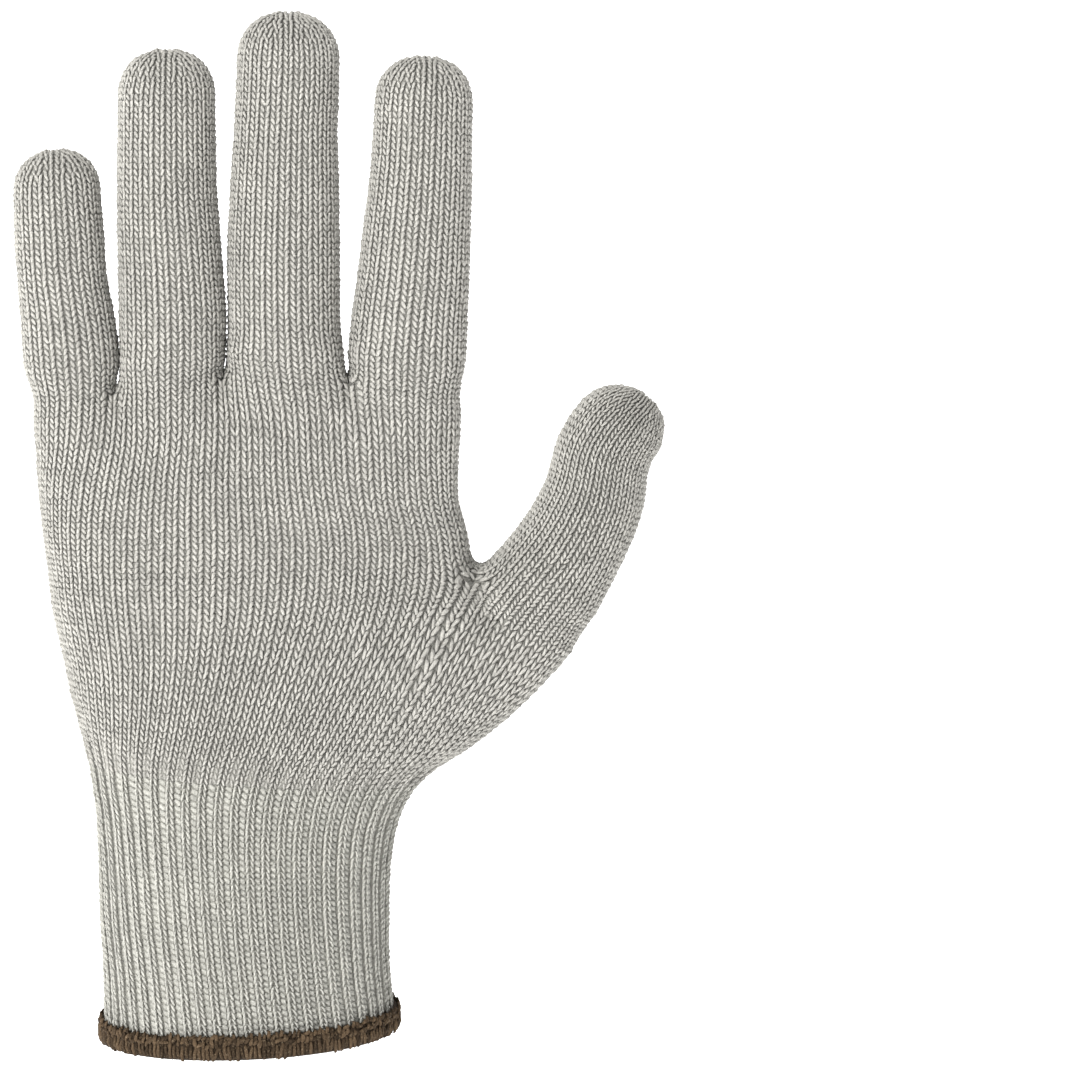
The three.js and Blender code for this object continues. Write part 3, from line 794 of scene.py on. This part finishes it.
purl_stitch = stitch_object("purl_stitch", [(PURL, 0.34, 0.24)])
fibre = stitch_object("fibre", [(FIBRE, 0.03, 0.03)], 3)


class Tree:
    """Builds a node tree. Numbers, links and Values may all go into a socket."""

    def __init__(self, tree):
        self.tree = tree

    def node(self, kind, settings=None, inputs=None, output=0):
        made = self.tree.nodes.new(kind)
        for key, value in (settings or {}).items():
            setattr(made, key, value)
        for key, value in (inputs or {}).items():
            self.put(made.inputs[key], value)
        return Value(self, made.outputs[output]) if made.outputs else made

    def put(self, socket, value):
        if isinstance(value, Value):
            self.tree.links.new(value.socket, socket)
        else:
            socket.default_value = value


class Value:
    """A socket that takes part in sums as a number does."""

    def __init__(self, tree, socket):
        self.tree = tree
        self.socket = socket

    def other(self, name):
        return Value(self.tree, self.socket.node.outputs[name])

    def math(self, operation, *others):
        inputs = dict(enumerate((self, *others)))
        return self.tree.node("ShaderNodeMath", {"operation": operation}, inputs)

    def __add__(self, other):
        return self.math("ADD", other)

    def __mul__(self, other):
        return self.math("MULTIPLY", other)

    def __sub__(self, other):
        return self.math("SUBTRACT", other)

    def __rsub__(self, other):
        return self * -1 + other

    __radd__ = __add__
    __rmul__ = __mul__

    def between(self, low, high):
        settings = {"interpolation_type": "SMOOTHSTEP"}
        inputs = {"Value": self, "From Min": low, "From Max": high}
        return self.tree.node("ShaderNodeMapRange", settings, inputs)


def mix_colour(tree, share, first, second, blend="MIX"):
    settings = {"data_type": "RGBA", "blend_type": blend}
    made = tree.node("ShaderNodeMix", settings, output=2)
    inputs = made.socket.node.inputs
    tree.put(inputs[0], share)
    tree.put(inputs[6], first)
    tree.put(inputs[7], second)
    return made


def new_material(name):
    material = bpy.data.materials.new(name)
    material.use_nodes = True
    material.node_tree.nodes.clear()
    return material, Tree(material.node_tree)


def surface(tree, inputs):
    """The shader that a material ends in."""
    shader = tree.node("ShaderNodeBsdfPrincipled", inputs=inputs)
    tree.node("ShaderNodeOutputMaterial", inputs={"Surface": shader})


# Noise across the yarn in cycles a metre: its single fibres, and patches of the fabric.
FIBRE_NOISE = 2600
PATCH_NOISE = 90
# Radians that the yarn turns on itself along one leg of a stitch.
TWIST = 15.0


def yarn_material(name, painted_shade, light, fleck, sheen, mottle):
    """Spun yarn: darker in its hollows by painted shade, flecked along its fibres, with a twist in
    its bump.
    """
    material, tree = new_material(name)

    def stored(key, output="Fac"):
        return tree.node("ShaderNodeAttribute", {"attribute_name": key}).other(output)

    place = tree.node("ShaderNodeTexCoord").other("Object")
    split = tree.node("ShaderNodeSeparateXYZ", inputs={0: stored("yarn", "Vector")})
    noise = {"Vector": place, "Scale": FIBRE_NOISE, "Detail": 3}
    fibres = tree.node("ShaderNodeTexNoise", inputs=noise)
    patches = tree.node("ShaderNodeTexNoise", inputs={**noise, "Scale": PATCH_NOISE, "Detail": 2})
    turn = split.other("Z") * TWIST
    twist = turn.math("SINE") * split.other("X") + turn.math("COSINE") * split.other("Y")
    # Painted shade: by each point's height, the colour runs from the dark colour at the lowest yarn
    # and on the shell up to the light colour on the crests.
    shaded_yarn = mix_colour(tree, stored("height").between(0.0, 0.9), (*painted_shade, 1), (*light, 1))
    tone = (
        (stored("shade") - 0.5) * mottle + (patches - 0.5) * 0.25 + (fibres - 0.5) * 1.3 + 1.0
    )
    grey = tree.node("ShaderNodeCombineXYZ", inputs={0: tone, 1: tone, 2: tone})
    toned = mix_colour(tree, 1.0, shaded_yarn, grey, "MULTIPLY")
    flecked = mix_colour(tree, fibres.between(0.58, 0.72) * 0.35, toned, (*fleck, 1))
    relief = {"Strength": 0.6, "Distance": 0.0003, "Height": twist * 0.5 + fibres * 2.0}
    surface(
        tree,
        {
            "Base Color": flecked,
            "Roughness": 0.82 + (fibres - 0.5) * 0.2,
            "Specular IOR Level": 0.1,
            "Sheen Weight": sheen,
            "Sheen Roughness": 0.6,
            "Normal": tree.node("ShaderNodeBump", inputs=relief),
        },
    )
    return material


# Each yarn's colours: its painted shade for the hollows and the shell, its own colour on the
# crests, and its flecks; then its sheen and mottle.
grey_knit = yarn_material(
    "grey_knit", (0.24, 0.235, 0.215), (0.39, 0.38, 0.352), (0.52, 0.51, 0.47), 0.08, 0.2
)
grey_rib = yarn_material(
    "grey_rib", (0.3, 0.295, 0.265), (0.41, 0.405, 0.37), (0.54, 0.53, 0.49), 0.08, 0.2
)
brown_thread = yarn_material(
    "brown_thread", (0.012, 0.008, 0.005), (0.066, 0.044, 0.026), (0.34, 0.27, 0.18), 0.0, 1.1
)


SOCKETS = {
    "Object": ("Face Stitch", "Back Stitch", "Shell", "Fibre"),
    "Material": ("Yarn",),
    "Int": ("Seed",),
    "Float": ("Turn", "Unevenness", "Wander", "Fibres"),
}
# How far the yarn strays from its place, and the noise that it follows, in cycles a metre.
WANDER = 0.0004
WANDER_NOISE = 420.0
FIBRE_LEAN = (1.35, 1.35, 3.14)
FIBRE_SHADES = (0.2, 1.6)
FIBRE_LENGTHS = (0.0007, 0.0021)


def stitching_group():
    """Sets a stitch on each point of a lattice, turned and sized to its cell."""
    group = bpy.data.node_groups.new("stitching", "GeometryNodeTree")
    tree = Tree(group)
    panel = group.interface
    panel.new_socket("Geometry", in_out="OUTPUT", socket_type="NodeSocketGeometry")
    for kind, names in {"Geometry": ("Geometry",), **SOCKETS}.items():
        for name in names:
            panel.new_socket(name, in_out="INPUT", socket_type="NodeSocket" + kind)
    start = tree.node("NodeGroupInput")

    def stored(name, kind="FLOAT_VECTOR"):
        settings = {"data_type": kind}
        return tree.node("GeometryNodeInputNamedAttribute", settings, {"Name": name}, "Attribute")

    def random(low, high, seed_step):
        """A random vector or number for each point."""
        kind, first, output = ("FLOAT", 2, 1) if isinstance(low, float) else ("FLOAT_VECTOR", 0, 0)
        made = tree.node("FunctionNodeRandomValue", {"data_type": kind}, output=output)
        sockets = made.socket.node.inputs
        tree.put(sockets[first], low)
        tree.put(sockets[first + 1], high)
        tree.put(sockets["Seed"], start.other("Seed") + float(seed_step))
        return made

    def scaled(vector, share):
        settings = {"operation": "SCALE"}
        return tree.node("ShaderNodeVectorMath", settings, {0: vector, "Scale": share})

    def rotated(first, angles):
        settings = {"rotation_space": "LOCAL"}
        then = tree.node("FunctionNodeEulerToRotation", inputs={0: angles})
        return tree.node("FunctionNodeRotateRotation", settings, {0: first, 1: then})

    def shaded(points, shade):
        settings = {"data_type": "FLOAT", "domain": "POINT"}
        inputs = {"Geometry": points, "Name": "shade", "Value": shade}
        return tree.node("GeometryNodeStoreNamedAttribute", settings, inputs)

    def shape(name):
        found = tree.node("GeometryNodeObjectInfo", inputs={"Object": start.other(name)})
        return found.other("Geometry")

    def placed(points, name, rotation, scale, selection=True):
        inputs = {"Points": points, "Selection": selection, "Instance": shape(name)}
        inputs |= {"Rotation": rotation, "Scale": scale}
        return tree.node("GeometryNodeInstanceOnPoints", inputs=inputs)

    waves = {"Scale": WANDER_NOISE, "Detail": 1.0}
    wave = tree.node("ShaderNodeTexNoise", {"noise_dimensions": "3D"}, waves, "Color")
    less = {0: wave, 1: (0.5, 0.5, 0.5)}
    centred = tree.node("ShaderNodeVectorMath", {"operation": "SUBTRACT"}, less)
    wander = {"Geometry": start, "Offset": scaled(centred, start.other("Wander"))}
    moved = tree.node("GeometryNodeSetPosition", inputs=wander)
    facing = tree.node(
        "FunctionNodeAxesToRotation",
        {"primary_axis": "Y", "secondary_axis": "Z"},
        {0: stored("inward"), 1: stored("along")},
    )
    jitter = random((-1, -1, -1), (1, 1, 1), 1)
    rotation = rotated(facing, scaled(jitter, start.other("Turn")))
    uneven = random(-1.0, 1.0, 2) * start.other("Unevenness") + 1.0
    scale = scaled(stored("size"), uneven)
    points = shaded(moved, random(0.0, 1.0, 3))
    is_back = stored("is_back", "FLOAT").math("GREATER_THAN", 0.5)

    shell_part = shape("Shell")
    scatter = {"Mesh": shell_part, "Density": start.other("Fibres"), "Seed": start.other("Seed")}
    scattered = tree.node("GeometryNodeDistributePointsOnFaces", inputs=scatter)
    outward = {2: scattered.other("Normal")}
    upright = tree.node("FunctionNodeAlignRotationToVector", {"axis": "Z"}, outward)
    lean = random(tuple(-angle for angle in FIBRE_LEAN), FIBRE_LEAN, 4)
    parts = (
        placed(points, "Back Stitch", rotation, scale, is_back),
        placed(points, "Face Stitch", rotation, scale, 1 - is_back),
        shell_part,
        placed(
            shaded(scattered, random(*FIBRE_SHADES, 5)),
            "Fibre",
            rotated(upright, lean),
            random(*FIBRE_LENGTHS, 6),
        ),
    )
    joined = tree.node("GeometryNodeJoinGeometry")
    for part in parts:
        tree.tree.links.new(part.socket, joined.socket.node.inputs[0])
    real = tree.node("GeometryNodeRealizeInstances", inputs={"Geometry": joined})
    dyed = {"Geometry": real, "Material": start.other("Yarn")}
    tree.node("NodeGroupOutput", inputs={0: tree.node("GeometryNodeSetMaterial", inputs=dyed)})
    return group


stitching = stitching_group()


def worked(name, cells, values):
    """A piece as the plain mesh that the stitching makes on the cells of a lattice."""
    attributes = {key: cells[key] for key in ("inward", "along", "size", "is_back")}
    piece = object_from(name, mesh_from(name + "_cells", cells["place"], (), attributes))
    modifier = piece.modifiers.new("work", "NODES")
    modifier.node_group = stitching
    values = {**values, "Wander": WANDER, "Fibre": fibre}
    for socket in stitching.interface.items_tree:
        if socket.in_out == "INPUT" and socket.name in values:
            modifier[socket.identifier] = values[socket.name]
    piece.update_tag()
    bpy.context.view_layer.update()
    evaluated = piece.evaluated_get(bpy.context.evaluated_depsgraph_get())
    mesh = bpy.data.meshes.new_from_object(evaluated)
    piece.modifiers.remove(modifier)
    piece.data = mesh
    mesh.name = piece.name
    return piece


def knitted(name, wall, sink, material, seed, tip_start=None):
    """A tube of knitting that takes the place of its plain solid."""
    normals = all_normals[name]
    rings = fabric.rings(name) - normals * RELIEF
    cells = lattice(rings, tip_start)
    is_ribbed = name == "rib_cuff"
    is_odd = cells["column"] % 2
    cells["is_back"] = is_odd * is_ribbed
    if name in ("rib_cuff", "lower_palm"):
        fade = 1 if is_ribbed else ease(1 - cells["row"] / (RIB_FADE * HEEL_COURSES))
        lift = np.where(is_odd > 0, -RIB_SINK, RIB_RISE) * fade
        cells["place"] = cells["place"] - cells["inward"] * lift[:, None]
    backing = shell(name + "_shell", rings, normals, wall, sink, tip_start is not None)
    values = {
        "Face Stitch": rib_stitch if is_ribbed else knit_stitch,
        "Back Stitch": purl_stitch,
        "Shell": backing,
        "Yarn": material,
        "Seed": seed,
        "Turn": 0.1,
        "Unevenness": 0.08,
        "Fibres": 3.0e4,
    }
    piece = worked(name + "_knit", cells, values)
    bpy.data.objects.remove(backing)
    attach(piece, "root")
    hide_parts(name)


tubes = {
    "rib_cuff": np.array([cuff_ring(at) for at in even(CUFF_COURSES)]),
    "lower_palm": np.array([hand_ring(level) for level in even(HEEL_COURSES) - 1]),
    "upper_palm": np.array([palm_ring(level) for level in even(PALM_COURSES)]),
    "thumb": tip_rings(thumb_ring),
}
for finger in FINGERS:
    tubes[finger] = tip_rings(lambda at: finger_ring(finger, at))
fabric = Fabric(tubes)
for i in range(2 * HAND_COLUMNS):
    fabric.join(("rib_cuff", -1, i), ("lower_palm", 0, i))
for i in range(-PALM_PART, PALM_PART + 1):
    fabric.join(("lower_palm", -1, i), ("upper_palm", 0, i))
for i in range(THUMB_COLUMNS + 1):
    fabric.join(("lower_palm", -1, PALM_PART + i), ("thumb", 0, THUMB_CROTCH_COLUMNS + i))
    fabric.join(("lower_palm", -1, -PALM_PART - i), ("thumb", 0, -THUMB_CROTCH_COLUMNS - i))
for i in range(1 - THUMB_CROTCH_COLUMNS, THUMB_CROTCH_COLUMNS):
    fabric.join(("upper_palm", 0, PALM_COLUMNS - i), ("thumb", 0, i))
first, previous = 0, None
for finger, (*_, shared, left_wales, right_wales) in FINGERS.items():
    for i in range(shared + 1):
        fabric.join(("upper_palm", -1, first + i), (finger, 0, left_wales + i))
        fabric.join(("upper_palm", -1, -first - i), (finger, 0, -left_wales - i))
    if previous:
        fabric.join(previous, (finger, 0, 0))
    previous = (finger, 0, left_wales + shared + right_wales)
    first += shared

# Rows of stitches that a join is smoothed over: few at the thumb crotch, and more for each
# column away from it, up to a number of columns.
SEAM_REACH = 3
REACH_GROWTH = 0.6
REACH_COLUMNS = 20


def reach_beside_crotch(columns, crotch):
    column = np.arange(2 * columns)
    away = crotch - np.minimum(column, 2 * columns - column)
    return SEAM_REACH + REACH_GROWTH * np.clip(away, 0, REACH_COLUMNS)


CROTCH_ROUNDS = 150
SEAM_ROUNDS = 30
beside_thumb = {
    "lower_palm": ((-1,), reach_beside_crotch(HAND_COLUMNS, PALM_PART)),
    "upper_palm": ((0,), reach_beside_crotch(PALM_COLUMNS, PALM_PART)),
}
fabric.relax(beside_thumb, CROTCH_ROUNDS)
seams = {name: (0,) for name in tubes}
seams |= {"rib_cuff": (-1,), "lower_palm": (0, -1), "upper_palm": (0, -1)}
fabric.relax({name: (rows, SEAM_REACH) for name, rows in seams.items()}, SEAM_ROUNDS)
# How far in from the left the outline's own place is kept.
LEFT_HOLD = 0.06
fabric.hold_left("lower_palm", LEFT_HOLD, np.clip(3 * even(HEEL_COURSES), 0, 1))
fabric.hold_left("upper_palm", LEFT_HOLD, np.clip(2.5 * (1 - even(PALM_COURSES)), 0, 1))

# Small hollows under the valleys between the fingers
HOLLOW_LENGTH = 0.003
HOLLOW_WIDTH = 0.0018
HOLLOW_DEPTH = 0.0013
for column in np.cumsum([row[-3] for row in FINGERS.values()])[:-1]:
    valley = fabric.rings("upper_palm")[-1, column]
    below = valley - np.array([0, 0, HOLLOW_LENGTH])
    fabric.press(valley, below, HOLLOW_WIDTH, (0, HOLLOW_DEPTH, 0), front_only=True)

# The thumb crotch is pressed down, and a crease runs from it towards the wrist.
CROTCH_REACH = 0.007
CROTCH_DROP = 0.003
CREASE_START = np.array([-0.001, 0, 0])
CREASE_END = np.array([0.0035, 0, -0.011])
CREASE_WIDTH = 0.0022
CREASE_DEPTH = 0.0022
crotch = fabric.rings("lower_palm")[-1, PALM_PART]
fabric.press(crotch, crotch, CROTCH_REACH, (0, 0, -CROTCH_DROP))
ends = crotch + CREASE_START, crotch + CREASE_END
fabric.press(*ends, CREASE_WIDTH, (0, CREASE_DEPTH, 0), front_only=True)
all_normals = fabric.normals()

# Length of a tip's own columns, as a share of its dome.
TIP_LENGTH = 1.25
for number, (name, rings) in enumerate(tubes.items()):
    tip_start = None
    if name == "thumb" or name in FINGERS:
        wide = THUMB_WIDE if name == "thumb" else FINGERS[name][1]
        tip_start = len(rings) - 1 - round(FINGER_DOME * wide * TIP_LENGTH / COURSE)
    if name == "rib_cuff":
        knitted(name, RIB_WALL, RIB_SHELL_DEPTH, grey_rib, number)
    else:
        knitted(name, KNIT_WALL, KNIT_SHELL_DEPTH, grey_knit, number, tip_start)

# Overcast edge
# Half of the band's section, as how far out and how high, from its top edge down.
EDGE_BAND = ((0.0015, 0.0056), (0.0019, 0.005), (0.0021, 0.003), (0.0019, 0.0009), (0.001, 0.0001))
# Turns of the thread round the edge.
WRAPS = 190


def rim_out(loop):
    along = np.roll(loop, -1, axis=0) - np.roll(loop, 1, axis=0)
    return unit(np.stack([along[:, 1], -along[:, 0], 0 * along[:, 0]], 1))


def edge_path(count):
    loop = cuff_ring(0)
    return points_along(np.concatenate([loop, loop[:1]]), even(count))[:-1]


BAND_STEPS = 104


def band():
    """The band that the overcast thread lies on."""
    path = edge_path(BAND_STEPS)
    out = rim_out(path)
    profile = [*EDGE_BAND, *((-out_by, high) for out_by, high in EDGE_BAND[::-1])]
    points, faces = [], []
    for p, o in zip(path, out):
        for side, high in profile:
            points.append(p + o * (side - RIB_WALL / 2) + np.array([0, 0, high - EDGE_FLOOR]))
    size = len(profile)
    for i in range(BAND_STEPS):
        j = (i + 1) % BAND_STEPS
        for k in range(size):
            m = (k + 1) % size
            faces.append((i * size + k, i * size + m, j * size + m, j * size + k))
    # At height 0.3 the band under the thread gets part of the thread's painted shade.
    return mesh_from("cuff_edge_band", points, faces, plain_surface(len(points), 0.3))


edge_shell = helper_from("cuff_edge_shell", band())
STRAND = (
    (0.1, 0.95, -1.02), (0.05, 0.35, -0.85), (0, -0.2, -0.1), (0.06, -0.1, 0.7), (0.2, 0.3, 1.05)
)
LOOP = ((-0.3, 0.5, -0.9), (-0.2, 0, -0.6), (0.05, -0.25, 0), (0.22, -0.1, 0.55), (0.1, 0.3, 0.95))
strand_stitch = stitch_object("strand_stitch", [(STRAND, 0.42, 0.42)], 5)
loop_stitch = stitch_object("loop_stitch", [(LOOP, 0.3, 0.36)], 5)
# Rows of thread round the edge: height, how far out, length, width as a share of the step,
# and whether it is a loop of the chain along the top or a strand over the rim.
EDGE_ROWS = (
    (0.0021, 0.0021, 0.0019, 1.2, False),
    (0.0044, 0.0021, 0.0012, 1.9, True),
    (0.0055, 0.0018, 0.0012, 1.7, True),
)
# How much strands and loops vary in height, in lean and in their share of length.
STRAND_SPREAD = (0.0001, 0.1, 0.04)
LOOP_SPREAD = (0.00035, 0.5, 0.2)


def edge_cells():
    """The cells of the overcast thread, inside and outside the rim."""
    chance = np.random.default_rng(11)
    path = edge_path(WRAPS)
    steps = np.linalg.norm(np.roll(path, -1, axis=0) - path, axis=1)
    rows = []
    for side in (1, -1):
        for height, out_by, tall, wide, is_loop in EDGE_ROWS:
            for point, out, step in zip(path, rim_out(path), steps):
                spread = LOOP_SPREAD if is_loop else STRAND_SPREAD
                up, lean, longer = (chance.normal(0, share) for share in spread)
                middle = point + out * (side * out_by - RIB_WALL / 2)
                middle[2] += height - EDGE_FLOOR + up
                along = unit(np.array([0, 0, 1.0]) + np.array([-out[1], out[0], 0]) * lean)
                size = (step * wide, STITCH_DEPTH, tall * (1 + longer))
                rows.append((middle, -out * side, along, size, is_loop))
    return dict(zip(("place", "inward", "along", "size", "is_back"), zip(*rows)))


values = {
    "Face Stitch": strand_stitch,
    "Back Stitch": loop_stitch,
    "Shell": edge_shell,
    "Yarn": brown_thread,
    "Seed": 9,
    "Turn": 0.16,
    "Unevenness": 0.12,
    "Fibres": 4.0e5,
}
edge = worked("cuff_edge_overcast", edge_cells(), values)
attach(edge, "root")
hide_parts("cuff_edge")
for helper in (edge_shell, knit_stitch, rib_stitch, purl_stitch, strand_stitch, loop_stitch, fibre):
    bpy.data.objects.remove(helper)


# Studio
FLOOR = -0.02
FLOOR_REACH = 20.0
BEND_START = 0.9
BEND = 0.6
BEND_STEPS = 12
BACKDROP_TOP = 9.0


def studio():
    """A pale floor that rises into a backdrop."""
    profile = [(-FLOOR_REACH, FLOOR)]
    for k in range(BEND_STEPS + 1):
        angle = math.pi / 2 * k / BEND_STEPS
        profile.append((BEND_START + BEND * math.sin(angle), FLOOR + BEND * (1 - math.cos(angle))))
    profile.append((BEND_START + BEND, BACKDROP_TOP))
    points = [(x, y, z) for y, z in profile for x in (-FLOOR_REACH, FLOOR_REACH)]
    faces = [(2 * k, 2 * k + 1, 2 * k + 3, 2 * k + 2) for k in range(len(profile) - 1)]
    floor = object_from("studio_floor", mesh_from("studio_floor", points, faces))
    material, tree = new_material("studio_white")
    white = (1, 1, 1, 1)
    pale = {"Base Color": (0.9, 0.9, 0.9, 1), "Roughness": 0.9}
    surface(tree, {**pale, "Emission Color": white, "Emission Strength": 1.0})
    floor.data.materials.append(material)


def light(name, place, target, size, power, colour):
    lamp = bpy.data.lights.new(name, "AREA")
    lamp.shape = "SQUARE"
    lamp.size = size
    lamp.energy = power
    lamp.color = colour
    made = object_from(name, lamp)
    made.location = place
    made.rotation_euler = (Vector(target) - Vector(place)).to_track_quat("-Z", "Y").to_euler()


studio()
GLOVE = (0.01, 0.0, 0.125)
bpy.context.scene.view_settings.view_transform = "Standard"
light("key_light", (-0.95, -1.3, 1.0), GLOVE, 0.7, 42, (1.0, 0.995, 0.98))
light("fill_light", (1.3, -0.7, 0.2), GLOVE, 0.9, 0.6, (1.0, 0.85, 0.8))
world = bpy.data.worlds.new("studio_world")
world.use_nodes = True
sky = world.node_tree.nodes["Background"].inputs
sky["Color"].default_value = (1, 1, 1, 1)
sky["Strength"].default_value = 0.35
bpy.context.scene.world = world

# Camera: level with the hand and a little above it, turned aside so that the glove stands on
# the left of the picture.
DISTANCE = 0.9
ELEVATION = 7.5
FRAME_WIDTH = 0.2581
ASIDE = 0.0698
BELOW = 0.0033
ROLL = 0.5
SENSOR = 36
camera = bpy.data.cameras.new("camera")
camera.sensor_width = SENSOR
camera.lens = SENSOR * DISTANCE / FRAME_WIDTH
camera.clip_start = 0.01
camera.clip_end = 20
viewer = object_from("camera", camera)
rise = math.radians(ELEVATION)
target = Vector((0, 0, 0.125))
away = Vector((0, -math.cos(rise), math.sin(rise)))
above = Vector((0, math.sin(rise), math.cos(rise)))
viewer.location = target + away * DISTANCE
look = target + Vector((ASIDE, 0, 0)) - above * BELOW - viewer.location
roll = Quaternion((0, 0, 1), math.radians(ROLL))
viewer.rotation_euler = (look.to_track_quat("-Z", "Y") @ roll).to_euler()
bpy.context.scene.camera = viewer
